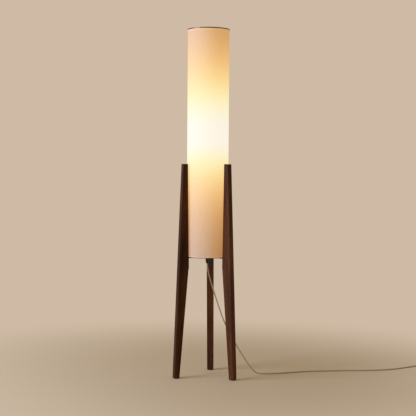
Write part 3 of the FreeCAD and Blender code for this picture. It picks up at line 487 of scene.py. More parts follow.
@dataclass(frozen=True)
class Walnut:
    """Solid walnut, planed, sanded and oiled: dark heartwood, wavy growth lines and short open pores.

    The eye reads it by long streaks of brown and near black along the leg, a satin gloss, and pores
    as fine dark dashes. Real pores are 0.2 mm wide; they are drawn at 0.7 mm so that they show. The
    streaks are growth lines and fibres, each weighed by its share, over a slow cloud. The lines and
    the cloud change more slowly along the leg than across it, by the line stretch.
    """

    light: str = "#804A24"
    middle: str = "#573016"
    dark: str = "#2A1408"
    pore: str = "#170A04"
    line_spacing: float = 4.5 * MM
    line_stretch: float = 0.12
    cloud: float = 35.7 * MM
    fibre: Pair = (1.1 * MM, 60 * MM)
    pore_size: Pair = (0.7 * MM, 14 * MM)
    pore_depth: float = 0.06 * MM
    grain_lean: Pair = (0.012, -0.01)
    line_share: float = 0.26
    fibre_share: float = 0.7
    fibre_relief: float = 0.35
    streak_range: Pair = (0.62, 1.4)
    gloss_range: Pair = (0.6, 1.4)
    pore_range: Pair = (0.6, 0.68)
    roughness: Pair = (0.52, 0.66)

    def build(self, side: str, turn_deg: float, shift: Triple, depth: float) -> bpy.types.Material:
        """Build one leg's material.

        Args:
            side: the leg's name.
            turn_deg: how far the board's rings are turned for this leg.
            shift: where in the log this leg was cut.
            depth: painted shade for this leg, how much darker its tone is drawn, as a share of the ramp.

        Returns:
            The material.
        """
        material = new_material(f"oiled_walnut_{side}")
        tree = material.node_tree
        place = add_node(tree, "ShaderNodeTexCoord").outputs["Object"]
        turn = (*self.grain_lean, math.radians(turn_deg))
        cut = add_node(tree, "ShaderNodeMapping", {0: place, "Location": shift, "Rotation": turn})
        slow = add_node(tree, "ShaderNodeMapping", {0: cut, "Scale": (1.0, 1.0, self.line_stretch)})
        growth = {
            "Vector": slow, "Scale": wave_scale(self.line_spacing), "Distortion": 6.0,
            "Detail": 3.0, "Detail Scale": 0.3, "Detail Roughness": 0.55,
        }
        rings = {"wave_type": "RINGS", "rings_direction": "Z", "wave_profile": "SIN"}
        lines = add_node(tree, "ShaderNodeTexWave", growth, **rings).outputs["Fac"]
        broad = {"Vector": slow, "Scale": 1 / self.cloud, "Detail": 2.0}
        cloud = add_node(tree, "ShaderNodeTexNoise", broad)
        noises = []
        for (width, length), detail in ((self.fibre, 4.0), (self.pore_size, 1.0)):
            size = (1 / width, 1 / width, 1 / length)
            along = add_node(tree, "ShaderNodeMapping", {0: cut, "Scale": size})
            pattern = {"Vector": along, "Scale": 1.0, "Detail": detail}
            noises.append(add_node(tree, "ShaderNodeTexNoise", pattern))
        fibres, specks = noises
        holes = {"Value": specks, "From Min": self.pore_range[0], "From Max": self.pore_range[1]}
        pores = add_node(tree, "ShaderNodeMapRange", holes)
        weigh = {"operation": "MULTIPLY_ADD"}
        figure = add_node(tree, "ShaderNodeMath", {0: lines, 1: self.line_share, 2: cloud}, **weigh)
        streaks = add_node(tree, "ShaderNodeMath", {0: fibres, 1: self.fibre_share, 2: figure}, **weigh)
        height = add_node(tree, "ShaderNodeMath", {0: fibres, 1: self.fibre_relief, 2: pores}, **weigh)
        low, high = self.streak_range
        # Painted shade: the leg's whole tone ramp slides darker by its depth
        painted_shade_shift = depth * (high - low)
        ends = {"Value": streaks, "From Min": low - painted_shade_shift, "From Max": high - painted_shade_shift}
        ramp = add_node(tree, "ShaderNodeValToRGB", {0: add_node(tree, "ShaderNodeMapRange", ends)})
        ramp.color_ramp.elements.new(0.5)
        for element, code in zip(ramp.color_ramp.elements, (self.light, self.middle, self.dark)):
            element.color = linear(code)
        tones = {0: pores, 6: ramp, 7: linear(self.pore)}
        names = ("From Min", "From Max", "To Min", "To Max")
        gloss = {"Value": streaks, **dict(zip(names, self.gloss_range + self.roughness))}
        relief = {"Height": height, "Distance": self.pore_depth, "Strength": 1.0}
        look = {
            "Base Color": add_node(tree, "ShaderNodeMix", tones, data_type="RGBA").outputs[2],
            "Roughness": add_node(tree, "ShaderNodeMapRange", gloss),
            "Normal": add_node(tree, "ShaderNodeBump", relief, invert=True),
            "Specular IOR Level": 0.12,
        }
        shader = add_node(tree, "ShaderNodeBsdfPrincipled", look)
        add_node(tree, "ShaderNodeOutputMaterial", {"Surface": shader})
        return material


@dataclass(frozen=True)
class Glow:
    """How the bulb's light comes through the shade, by height.

    Formula: with d the height above the bulb and R the reach of its light on that side, the level is
    tail + (1 - tail) (R^2 / (R^2 + d^2))^falloff. A falloff of 3/2 is a small source lighting a tall
    wall beside it, and 1 is a long one; the tail is light that the lining throws on. Each of red, green
    and blue then is peak (1 - exp(-gain level)): the cloth passes most red and least blue.
    """

    centre: float = 1.0565
    reach_up: float = 0.099
    reach_down: float = 0.08
    falloff: float = 1.148
    tail: float = 0.005
    peaks: Triple = (0.95, 0.874, 0.784)
    gains: Triple = (26.5, 11.0, 3.5)

    def colour(self, tree: bpy.types.NodeTree) -> tuple[bpy.types.Node, bpy.types.Node]:
        """Add the formula's nodes to a material, a Math node for each step of it.

        Args:
            tree: the material's nodes.

        Returns:
            The node with the glow's colour, and the one with its green as a share of its peak.
        """
        place = add_node(tree, "ShaderNodeTexCoord").outputs["Object"]
        upper, lower = self.reach_up ** 2, self.reach_down ** 2
        # Each step: its name, its operation, and numbers or the names of earlier steps
        steps = [
            ("above", "SUBTRACT", "height", self.centre),
            ("is_above", "GREATER_THAN", "above", 0.0),
            ("reach_squared", "MULTIPLY_ADD", "is_above", upper - lower, lower),
            ("whole", "MULTIPLY_ADD", "above", "above", "reach_squared"),
            ("near", "DIVIDE", "reach_squared", "whole"),
            ("fallen", "POWER", "near", self.falloff),
            ("level", "MULTIPLY_ADD", "fallen", 1 - self.tail, self.tail),
        ]
        for channel, gain, peak in zip("rgb", self.gains, self.peaks):
            steps += [
                (f"depth_{channel}", "MULTIPLY", "level", -gain),
                (f"held_{channel}", "EXPONENT", f"depth_{channel}"),
                (f"share_{channel}", "SUBTRACT", 1.0, f"held_{channel}"),
                (channel, "MULTIPLY", f"share_{channel}", peak),
            ]
        made = {"height": add_node(tree, "ShaderNodeSeparateXYZ", {0: place}).outputs["Z"]}
        for name, operation, *values in steps:
            inputs = {number: made.get(value, value) for number, value in enumerate(values)}
            made[name] = add_node(tree, "ShaderNodeMath", inputs, operation=operation)
        channels = {number: made[name] for number, name in enumerate("rgb")}
        return add_node(tree, "ShaderNodeCombineXYZ", channels), made["share_g"]


@dataclass(frozen=True)
class LitCloth:
    """Linen woven plain and pasted on white film, lit from behind.

    The eye reads it by its soft matt glow, thicker slub yarns as faint dashes, and a fine even
    weave. Real yarns lie 0.5 mm apart; they are drawn at 1.2 mm so that they show.
    """

    name: str
    cloth: str = "#B4B3AC"
    slub: str = "#A8A49A"
    yarn: float = 1.2 * MM
    slub_width: float = 1.5 * MM
    slub_length: float = 30 * MM
    slub_range: Pair = (0.5, 0.75)
    relief: float = 0.08 * MM
    thick_yarn_light: float = 0.96
    # How much darker the cloth's colour is painted where the glow is brightest
    painted_dimming: float = 0.7
    glow: Glow = field(default_factory=Glow)

    def build(self) -> bpy.types.Material:
        """Build the weave on the piece's UVs in metres, and the glow on Object coordinates.

        Returns:
            The material.
        """
        material = new_material(self.name)
        tree = material.node_tree
        uv = add_node(tree, "ShaderNodeTexCoord").outputs["UV"]
        wave = {
            "Vector": uv, "Scale": wave_scale(self.yarn),
            "Distortion": 0.6, "Detail": 1.0, "Detail Scale": 0.3,
        }
        sizes = (1 / self.slub_length, 1 / self.slub_width)
        yarns, slubs = {}, {}
        for number, way in enumerate("XY"):
            bands = {"wave_type": "BANDS", "bands_direction": way, "wave_profile": "SIN"}
            yarns[number] = add_node(tree, "ShaderNodeTexWave", wave, **bands).outputs["Fac"]
            scale = (sizes[number], sizes[1 - number], 1.0)
            place = add_node(tree, "ShaderNodeMapping", {0: uv, "Scale": scale})
            pattern = {"Vector": place, "Scale": 1.0, "Detail": 2.0}
            slubs[number] = add_node(tree, "ShaderNodeTexNoise", pattern)
        weave = add_node(tree, "ShaderNodeMath", yarns, operation="MULTIPLY")
        slub = add_node(tree, "ShaderNodeMath", slubs, operation="MAXIMUM")
        low, high = self.slub_range
        thick = add_node(tree, "ShaderNodeMapRange", {"Value": slub, "From Min": low, "From Max": high})
        tones = {0: thick, 6: linear(self.cloth), 7: linear(self.slub)}
        cloth = add_node(tree, "ShaderNodeMix", tones, data_type="RGBA").outputs[2]
        glow, share = self.glow.colour(tree)
        # Painted shade: beside the bulb the cloth's own colour is drawn darker, as the light from behind
        # drowns what it reflects
        washed = {"Value": share, "To Min": 1.0, "To Max": 1 - self.painted_dimming}
        painted_dim = add_node(tree, "ShaderNodeMapRange", washed)
        # A thick yarn lets a little less light through
        veiled = {"Value": thick, "To Min": 1.0, "To Max": self.thick_yarn_light}
        passed = add_node(tree, "ShaderNodeMapRange", veiled)
        height = add_node(tree, "ShaderNodeMath", {0: weave, 1: 0.5, 2: thick}, operation="MULTIPLY_ADD")
        relief = {"Height": height, "Distance": self.relief, "Strength": 0.6}
        reflected, shining = (
            add_node(tree, "ShaderNodeVectorMath", {0: tone, "Scale": share}, operation="SCALE")
            for tone, share in ((cloth, painted_dim), (glow, passed))
        )
        look = {
            "Base Color": reflected,
            "Emission Color": shining,
            "Normal": add_node(tree, "ShaderNodeBump", relief),
            "Emission Strength": 1.0,
            "Roughness": 0.85,
            "Specular IOR Level": 0.2,
            "Sheen Weight": 0.1,
        }
        shader = add_node(tree, "ShaderNodeBsdfPrincipled", look)
        add_node(tree, "ShaderNodeOutputMaterial", {"Surface": shader})
        return material


@dataclass(frozen=True)
class BraidedCotton:
    """Cotton yarn braided over a round lead: crossing strands in two close taupe tones.

    The eye reads it by its dry, matt face and the diamond pattern of the strands. Real strands are
    about 0.6 mm wide; they are drawn twice as wide, as the relief of the mesh is, so that they show.
    """

    light: str = "#D6C3AC"
    dark: str = "#A48F79"
    strands: int = 4
    pitch: float = 4.4 * MM
    radius: float = 2.75 * MM
    yarn: float = 0.4 * MM
    yarn_share: float = 0.9
    yarn_depth: float = 0.05 * MM
    tone_range: Pair = (-0.4, 1.3)

    def build(self) -> bpy.types.Material:
        """Build the crossing strands on the lead's UVs in metres.

        Returns:
            The material.
        """
        material = new_material("braided_cotton")
        tree = material.node_tree
        uv = add_node(tree, "ShaderNodeTexCoord").outputs["UV"]
        waves = []
        for way in (1, -1):
            pattern = (self.strands / self.radius, way * TAU / self.pitch, 0.0)
            phase = add_node(tree, "ShaderNodeVectorMath", {0: uv, 1: pattern}, operation="DOT_PRODUCT")
            waves.append(add_node(tree, "ShaderNodeMath", {0: phase.outputs["Value"]}, operation="SINE"))
        cross = add_node(tree, "ShaderNodeMath", dict(enumerate(waves)), operation="MULTIPLY")
        yarn = add_node(tree, "ShaderNodeTexNoise", {"Vector": uv, "Scale": 1 / self.yarn, "Detail": 2.0})
        parts = {0: yarn, 1: self.yarn_share, 2: cross}
        mixed = add_node(tree, "ShaderNodeMath", parts, operation="MULTIPLY_ADD")
        low, high = self.tone_range
        share = add_node(tree, "ShaderNodeMapRange", {"Value": mixed, "From Min": low, "From Max": high})
        tones = {0: share, 6: linear(self.light), 7: linear(self.dark)}
        relief = {"Height": yarn, "Distance": self.yarn_depth, "Strength": 1.0}
        look = {
            "Base Color": add_node(tree, "ShaderNodeMix", tones, data_type="RGBA").outputs[2],
            "Normal": add_node(tree, "ShaderNodeBump", relief),
            "Roughness": 0.9,
            "Specular IOR Level": 0.2,
            "Sheen Weight": 0.15,
        }
        shader = add_node(tree, "ShaderNodeBsdfPrincipled", look)
        add_node(tree, "ShaderNodeOutputMaterial", {"Surface": shader})
        return material


# Powder-coated steel: polyester powder baked on, so an even satin black with fine orange peel
POWDER_BLACK = PlainFinish("powder_coated_steel", "#181614", "#211E1B", (0.42, 0.55), grain=1.1 * MM)
# Zinc-plated steel: barrel plated, so a bluish bright metal with cloudy gloss
ZINC = PlainFinish("zinc_plated_steel", "#B4B8BC", "#9DA0A3", (0.28, 0.42), patch=5 * MM, metallic=1.0)
# Nickel-plated steel: warm grey bright metal, slightly brushed round by the tool
NICKEL = PlainFinish(
    "nickel_plated_steel", "#C2BBAE", "#AAA396", (0.18, 0.32), patch=6 * MM, metallic=1.0,
    stretch=(0.2, 0.2, 1.5),
)
# Brass: rolled sheet, dull yellow metal with brownish handling marks
BRASS = PlainFinish("rolled_brass", "#C9A659", "#A98645", (0.25, 0.4), patch=5 * MM, metallic=1.0)
# Spring-steel wire painted white: soft gloss, a little uneven where the paint pooled
HOOP_PAINT = PlainFinish("white_painted_wire", "#D8D3C8", "#C9C2B4", (0.35, 0.5), grain=0.8 * MM)
# Bronze-anodised aluminium: rolled channel, dark brown metal with a satin streak round the rim
BRONZE = PlainFinish(
    "bronze_anodised_aluminium", "#755D48", "#5C4736", (0.36, 0.48), patch=20 * MM, metallic=1.0,
    stretch=(0.15, 0.15, 2.0),
)
# Nylon: moulded black, a dull skin with a fine spark-eroded texture
NYLON = PlainFinish("moulded_nylon", "#171614", "#1F1D1B", (0.5, 0.65), relief=0.05 * MM)
# Phenolic resin: pressed black, harder and glossier than nylon, with faint flow marks
PHENOLIC = PlainFinish(
    "pressed_phenolic", "#16130F", "#211C17", (0.3, 0.42), patch=9 * MM, stretch=(1.0, 1.0, 0.3)
)
# Steatite: dry-pressed, fired and glazed, an off-white with a glassy skin
STEATITE = PlainFinish("glazed_steatite", "#DDD8CC", "#CFC8B8", (0.25, 0.35), coat=0.6, ior=1.55)
# ABS: moulded black, satin, with a fine leathery grain
ABS = PlainFinish(
    "moulded_abs", "#1D1A18", "#272320", (0.4, 0.55), grain=0.9 * MM, relief=0.06 * MM, ior=1.54
)
# Soft PVC: moulded black, dull and slightly dusty
SOFT_PVC = PlainFinish("soft_pvc", "#1B1917", "#292623", (0.6, 0.75), patch=6 * MM, grain=0.5 * MM)
# Felted EVA pad: cut from sheet, brown-black, matt with short fibres
PAD = PlainFinish(
    "felted_pad", "#2A211A", "#3A2E24", (0.85, 0.95), patch=3 * MM, grain=0.5 * MM, relief=0.15 * MM
)
# Bulb body: polycarbonate moulded white, satin
BULB_WHITE = PlainFinish("white_polycarbonate", "#DAD7D0", "#CFCBC2", (0.35, 0.5), ior=1.58)
# Light board: white solder mask on aluminium, glowing warm where the chips are
LIGHT_BOARD = PlainFinish(
    "white_light_board", "#E0DDD2", "#D2CDBE", (0.4, 0.5), emission="#FFDCA2", emission_strength=1.0
)
# Black glass: fused round the bulb's contact, glossy
BLACK_GLASS = PlainFinish("black_glass", "#0D0D0E", "#151517", (0.05, 0.12), ior=1.52)
# Core insulation: extruded PVC, smooth brown
CORE_PVC = PlainFinish("core_insulation", "#4A3526", "#5A4230", (0.4, 0.5), grain=0.5 * MM)
# Cotton braid on the lead inside the riser: matt, mottled by its yarns
INNER_BRAID = PlainFinish(
    "cotton_braid", "#D6C3AC", "#A48F79", (0.85, 0.95), patch=1.5 * MM, relief=0.1 * MM
)
# Tie: woven nylon hook-and-loop strap, black, fuzzy
STRAP = PlainFinish(
    "hook_and_loop_strap", "#1C1B1A", "#2B2927", (0.85, 0.95), patch=2 * MM, relief=0.2 * MM
)
# Opal glass: blown and acid-etched, white with an even warm glow right to its edge
OPAL = PlainFinish(
    "opal_glass", "#F0EADC", "#E9E1CF", (0.2, 0.3), ior=1.52, emission="#FFE3B8", emission_strength=1.0
)


# The lamp's sub-assemblies

@dataclass
class Studio:
    """Camera at the photographed angle, pale floor, soft key light from the left and a low even fill.

    The camera's place, tilt and roll were fitted to the edges of the shade, the legs and the feet.
    Tilt and roll are in radians. The floor's rings double in reach from the first step outwards.
    """

    frame_px: float = 416.0
    focal_px: float = 1027.1
    sensor: float = 36.0
    azimuth_deg: float = 7.15
    sideways: float = 2.3 * MM
    distance: float = 4.474
    height: float = 0.9123
    tilt: float = 0.0392
    roll: float = 0.0069
    clip_end: float = 200.0
    backdrop: str = "#CFBBA5"
    floor_tone: str = "#F0D3B4"
    fill: float = 0.28
    fill_tone: str = "#FFF8CF"
    key_tone: str = "#CFE2FF"
    key_power: float = 98.0
    key_size: float = 2.0
    key_azimuth_deg: float = -66.0
    key_distance: float = 3.3
    key_height: float = 1.6
    key_aim: float = 0.85
    floor_gap: float = 0.3 * MM
    floor_step: float = 0.5
    floor_rings: int = 6
    floor_reach: float = 40.0
    floor_segments: int = 96
    floor_fade: Pair = (0.35, 1.8)

    def build(self) -> None:
        """Make the camera, the floor, the light and the world."""
        self.make_camera()
        self.make_floor()
        self.make_key()
        self.make_world()
        bpy.context.scene.view_settings.view_transform = "Standard"

    def seen_from(self, azimuth_deg: float, point: Triple) -> Vector:
        """A direction or offset seen from an azimuth, turned into the lamp's frame."""
        return Matrix.Rotation(math.radians(azimuth_deg), 3, "Z") @ Vector(point)

    def make_camera(self) -> None:
        """Place the camera: the fitted distance, height, tilt and roll, seen from the fitted azimuth."""
        sine, cosine = math.sin(self.tilt), math.cos(self.tilt)
        offset = (self.sideways, -self.distance, self.height)
        place, ahead, level_up, level_right = (
            self.seen_from(self.azimuth_deg, point)
            for point in (offset, (0, cosine, -sine), (0, sine, cosine), (1, 0, 0))
        )
        right = math.cos(self.roll) * level_right + math.sin(self.roll) * level_up
        up = math.cos(self.roll) * level_up - math.sin(self.roll) * level_right
        turn = Matrix((right, up, -ahead)).transposed().to_4x4()
        data = bpy.data.cameras.new("camera")
        data.sensor_width = self.sensor
        data.lens = self.sensor * self.focal_px / self.frame_px
        data.clip_end = self.clip_end
        camera = bpy.data.objects.new("camera", data)
        camera.matrix_world = Matrix.Translation(place + Vector((*AXIS, 0))) @ turn
        bpy.context.scene.collection.objects.link(camera)
        bpy.context.scene.camera = camera

    def make_floor(self) -> None:
        """Lay a plain round floor; far from the lamp it takes the backdrop's colour for the camera."""
        doubled = self.floor_step * 2.0 ** np.arange(self.floor_rings)
        reach = np.array([0.0, *doubled, self.floor_reach])
        profile = np.stack([reach, np.full_like(reach, -self.floor_gap)], -1)
        floor = make_piece("studio_floor", [turned(profile, self.floor_segments, closed=False)])
        if floor.data.polygons[0].normal.z < 0:
            floor.data.flip_normals()
        material = new_material("studio_floor")
        tree = material.node_tree
        place = add_node(tree, "ShaderNodeTexCoord").outputs["Object"]
        distance = add_node(tree, "ShaderNodeVectorMath", {0: place}, operation="LENGTH").outputs["Value"]
        ends = {"Value": distance, "From Min": self.floor_fade[0], "From Max": self.floor_fade[1]}
        fade = add_node(tree, "ShaderNodeMapRange", ends, interpolation_type="SMOOTHSTEP")
        both = {0: fade, 1: self.seen_directly(tree)}
        share = add_node(tree, "ShaderNodeMath", both, operation="MULTIPLY")
        looks = {"Base Color": linear(self.floor_tone), "Roughness": 0.7, "Specular IOR Level": 0.2}
        shader = add_node(tree, "ShaderNodeBsdfPrincipled", looks)
        glow = add_node(tree, "ShaderNodeEmission", {0: linear(self.backdrop)})
        mixed = add_node(tree, "ShaderNodeMixShader", {0: share, 1: shader, 2: glow})
        add_node(tree, "ShaderNodeOutputMaterial", {"Surface": mixed})
        floor.data.materials.append(material)

    def seen_directly(self, tree: bpy.types.NodeTree) -> bpy.types.Node:
        """Add what is one for camera, glossy and transmission rays, and zero for the rest.

        Args:
            tree: the node tree.

        Returns:
            The node that holds it.
        """
        rays = add_node(tree, "ShaderNodeLightPath").outputs
        seen = rays["Is Camera Ray"]
        for kind in ("Is Glossy Ray", "Is Transmission Ray"):
            seen = add_node(tree, "ShaderNodeMath", {0: seen, 1: rays[kind]}, operation="MAXIMUM")
        return seen

    def make_key(self) -> None:
        """Hang one soft square light to the left of the camera, aimed at the lamp's middle."""
        data = bpy.data.lights.new("key", "AREA")
        data.shape = "SQUARE"
        data.size = self.key_size
        data.energy = self.key_power
        data.color = linear(self.key_tone)[:3]
        light = bpy.data.objects.new("key", data)
        offset = (0, -self.key_distance, self.key_height)
        place = self.seen_from(self.azimuth_deg + self.key_azimuth_deg, offset)
        aim = Vector((0, 0, self.key_aim)) - place
        light.matrix_world = Matrix.Translation(place) @ aim.to_track_quat("-Z", "Y").to_matrix().to_4x4()
        bpy.context.scene.collection.objects.link(light)

    def make_world(self) -> None:
        """Give an even fill, and the backdrop's colour to what the camera sees."""
        world = bpy.data.worlds.new("studio")
        bpy.context.scene.world = world
        world.use_nodes = True
        tree = world.node_tree
        tree.nodes.clear()
        fill, backdrop = (
            add_node(tree, "ShaderNodeBackground", {0: linear(tone), "Strength": strength})
            for tone, strength in ((self.fill_tone, self.fill), (self.backdrop, 1.0))
        )
        mixed = add_node(tree, "ShaderNodeMixShader", {0: self.seen_directly(tree), 1: fill, 2: backdrop})
        add_node(tree, "ShaderNodeOutputWorld", {0: mixed})


@dataclass
class Lead:
    """The braided lead: from the grip to the foot switch, and on to the coil and the plug."""

    diameter: float = 5.5 * MM
    braid_depth: float = 0.16 * MM
    sides: int = 32
    ring_step: float = 0.9 * MM
    spline_steps: int = 48
    path_stride: int = 4
    finish: BraidedCotton = field(default_factory=BraidedCotton)

    # The coil and the routes, in millimetres from the lamp's axis. Below the grip the drop runs up to
    # 8 mm beside its solid's route, where the photographed lead hangs
    coil_turns: float = 4.25
    coil_reverse: float = 2.25
    coil_climb: float = 0.5
    coil_radius: float = 38.0
    coil_pitch: float = 6.2
    coil_low: float = 3.9
    coil_high: float = 10.0
    coil_centre: Pair = (1096.8, 319.7)
    coil_points: int = 16
    drop_route: tuple[Triple, ...] = (
        (0, 0, 496), (4, 0.5, 460), (17.5, 4.6, 412), (35, 11.8, 352), (55, 19.8, 290), (76, 27.5, 230),
        (105, 37, 172), (134, 46.5, 118), (164, 57, 68), (192, 66, 26), (216, 74, 2.75),
        (250, 76, 2.75), (292, 84, 2.75), (340, 108, 2.75), (398, 140, 2.75), (462, 166, 2.75),
        (534, 186, 2.75), (612, 206, 2.75), (690, 219, 2.75), (762, 238, 2.75), (822, 268, 2.75),
        (874, 310, 2.75), (914, 347, 2.75), (944, 372, 3.2), (970, 382, 8), (994, 382, 8),
    )
    lead_route: tuple[Triple, ...] = (
        (1078, 382, 8), (1102, 382, 8), (1122.8, 370, 5.8), (1134.8, 349.2, 3.9), (1134.8, 325.2, 3.9),
    )
    end_route: tuple[Triple, ...] = (
        (1091.3, 283.25, 10.0), (1076.3, 283.25, 10.0), (1061.3, 283.25, 7.0), (1046.3, 283.25, 7.0),
    )

    def coil_route(self) -> np.ndarray:
        """Control points of the coil, in millimetres from the lamp's axis.

        Formula: at turn t the radius is R - pitch min(t, 2 reverse - t) at the angle -2 pi t, divided
        by the cosine of half a step so that the spline runs on the circle, and the height climbs
        from the lower to the upper layer with the smooth step 3s^2 - 2s^3 round the reversal.

        Returns:
            The points, from just after the first to just before the last.
        """
        count = int(self.coil_turns * self.coil_points)
        turn = (np.arange(count) + 0.5) / self.coil_points
        inward = np.minimum(turn, 2 * self.coil_reverse - turn)
        radius = (self.coil_radius - self.coil_pitch * inward) / math.cos(math.pi / self.coil_points)
        share = np.clip((turn - self.coil_reverse) / self.coil_climb + 0.5, 0, 1)
        height = self.coil_low + (self.coil_high - self.coil_low) * share ** 2 * (3 - 2 * share)
        x = self.coil_centre[0] + radius * np.cos(-TAU * turn)
        y = self.coil_centre[1] + radius * np.sin(-TAU * turn)
        return np.stack([x, y, height], -1)

    def centre_line(self, name: str, route: np.ndarray) -> np.ndarray:
        """Points along the smooth line that a route controls.

        Args:
            name: the line's name while it is made.
            route: control points in millimetres from the lamp's axis.

        Returns:
            Evenly spaced points in metres in the lamp's frame.
        """
        points = np.array(route, float) * MM + np.array([*AXIS, 0])
        curve = bpy.data.curves.new(name, "CURVE")
        curve.dimensions = "3D"
        spline = curve.splines.new("NURBS")
        spline.points.add(len(points) - 1)
        spline.points.foreach_set("co", np.c_[points, np.ones(len(points))].ravel())
        spline.order_u = 3
        spline.use_endpoint_u = True
        spline.resolution_u = self.spline_steps
        holder = bpy.data.objects.new(name, curve)
        mesh = bpy.data.meshes.new_from_object(holder)
        line = mesh_points(mesh)
        bpy.data.objects.remove(holder)
        bpy.data.curves.remove(curve)
        bpy.data.meshes.remove(mesh)
        along = length_along(line)
        even = np.linspace(0, along[-1], int(along[-1] / self.ring_step) + 1)
        return np.stack([np.interp(even, along, line[:, k]) for k in range(3)], -1)

    def braided(self, name: str, line: np.ndarray, reference: Sequence[float]) -> bpy.types.Object:
        """Braided tube along a line.

        Formula: r = R - depth (1 - cos(n a + k s) cos(n a - k s)) / 2 at angle a and length s, which
        is a bump at each crossing of strands that wind both ways.

        Args:
            name: the piece's name.
            line: points along the middle of the lead.
            reference: a direction that the line never takes.

        Returns:
            The piece.
        """
        along = length_along(line)[:, None]
        angle = np.arange(self.sides)[None, :] / self.sides * TAU
        wind, run = self.finish.strands * angle, TAU / self.finish.pitch * along
        bump = np.cos(wind + run) * np.cos(wind - run)
        radius = self.diameter / 2 - self.braid_depth * (1 - bump) / 2
        return make_piece(name, [swept(line, reference, radius)], sharp_deg=180)

    def build(self) -> list[bpy.types.Object]:
        """Returns:
            The new pieces.
        """
        finish = self.finish.build()
        drop_line = self.centre_line("drop_line", np.array(self.drop_route))
        drop = self.braided("lead_drop", drop_line, (0.6, -0.8, 0.0))
        settle(drop, Body.FRAME, "cord_textile", finish, "cord_drop")
        route = np.concatenate([self.lead_route, self.coil_route(), self.end_route])
        tail_line = self.centre_line("tail_line", route)
        tail = self.braided("lead_tail", tail_line, (0.0, 0.0, 1.0))
        settle(tail, Body.FRAME, "cord_textile", finish, "cord_lead", "cord_coil", "cord_end")
        lengths = [length_along(line)[-1] for line in (drop_line, tail_line)]
        log.info("lead: %.3f m to the switch, %.3f m on to the plug", *lengths)
        return [drop, tail]


@dataclass
class StrainReliefs:
    """Ribbed rubber sleeves where the lead enters the foot switch and the plug."""

    ribs: int = 5
    rings_per_rib: int = 12
    groove: float = 0.35
    sides: int = 40
    # Each sleeve's piece, node, side of its thin end, and tip radius as a share of the root's
    sleeves: tuple[tuple[str, str, int, float], ...] = (
        ("switch_sleeve_in", "switch_relief_in", -1, 0.76),
        ("switch_sleeve_out", "switch_relief_out", 1, 0.76),
        ("plug_sleeve", "plug_relief", 1, 0.69),
    )

    def sleeve(self, name: str, node: str, thin_end: int, tip_share: float) -> bpy.types.Object:
        """Ribbed cone along X in the box of a node.

        Formula: the radius falls evenly from root to tip, less depth (1 - cos(2 pi n s)) / 2 at the
        share s of the length, for n ribs; both ends close on the lead.

        Args:
            name: the piece's name.
            node: the node that it stands for.
            thin_end: 1 where the thin end lies towards +X, else -1.
            tip_share: tip radius as a share of the root's.

        Returns:
            The piece.
        """
        low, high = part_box(node)
        root = (high.z - low.z) / 2
        share = np.linspace(0, 1, self.ribs * self.rings_per_rib + 1)
        depth = self.groove * root * (1 - tip_share)
        wave = (1 - np.cos(TAU * self.ribs * share)) / 2
        radius = root * (1 - share * (1 - tip_share)) - depth * wave
        start, end = (low.x, high.x) if thin_end > 0 else (high.x, low.x)
        middle = np.array([(low.y + high.y) / 2, (low.z + high.z) / 2])
        path = np.column_stack([start + (end - start) * share, np.tile(middle, (len(share), 1))])
        rings = np.repeat(radius[:, None], self.sides, axis=1)
        return make_piece(name, [swept(path, (0, 0, 1), rings)], sharp_deg=60)

    def build(self) -> list[bpy.types.Object]:
        """Build the three sleeves.

        Returns:
            The new pieces.
        """
        finish = SOFT_PVC.build()
        return [
            settle(self.sleeve(name, node, *form), Body.FRAME, "relief_rubber", finish, node)
            for name, node, *form in self.sleeves
        ]


@dataclass
class CoilTie:
    """Hook-and-loop strap round the coil's turns, its edges thinner than its middle."""

    wall: float = 0.8 * MM
    corner: float = 4.0 * MM
    corner_steps: int = 8
    width_rows: int = 9
    crown: float = 0.25 * MM

    def build(self) -> list[bpy.types.Object]:
        """Build the strap as a rounded loop in X-Z, carried across its width.

        Formula: the outline is a rectangle with eased corners, and the outer face stands in by
        crown w^2 at the share w of its width, from -1 to 1.

        Returns:
            The new piece.
        """
        low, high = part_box("cord_tie")
        across = np.linspace(-1, 1, self.width_rows)
        loops = []
        for inset in (*(self.crown * across ** 2), *np.full(self.width_rows, self.wall)):
            corners = band_profile(low.x + inset, high.x - inset, low.z + inset, high.z - inset)
            loops.append(softened(corners, self.corner - inset, self.corner_steps))
        rows = np.stack(loops)
        y = (high.y + low.y) / 2 + (high.y - low.y) / 2 * np.concatenate([across, across[::-1]])
        points = np.stack([rows[:, :, 0], np.repeat(y[:, None], rows.shape[1], 1), rows[:, :, 1]], -1)
        along = length_along(np.concatenate([rows[0], rows[0, :1]]))
        down = length_along(y[:, None])
        down = np.concatenate([down, down[-1:] + self.wall])
        piece = make_piece("lead_tie", [Patch(points, True, True, uv_grid(along, down))])
        return [settle(piece, Body.FRAME, "tie_strap", STRAP.build(), "cord_tie")]


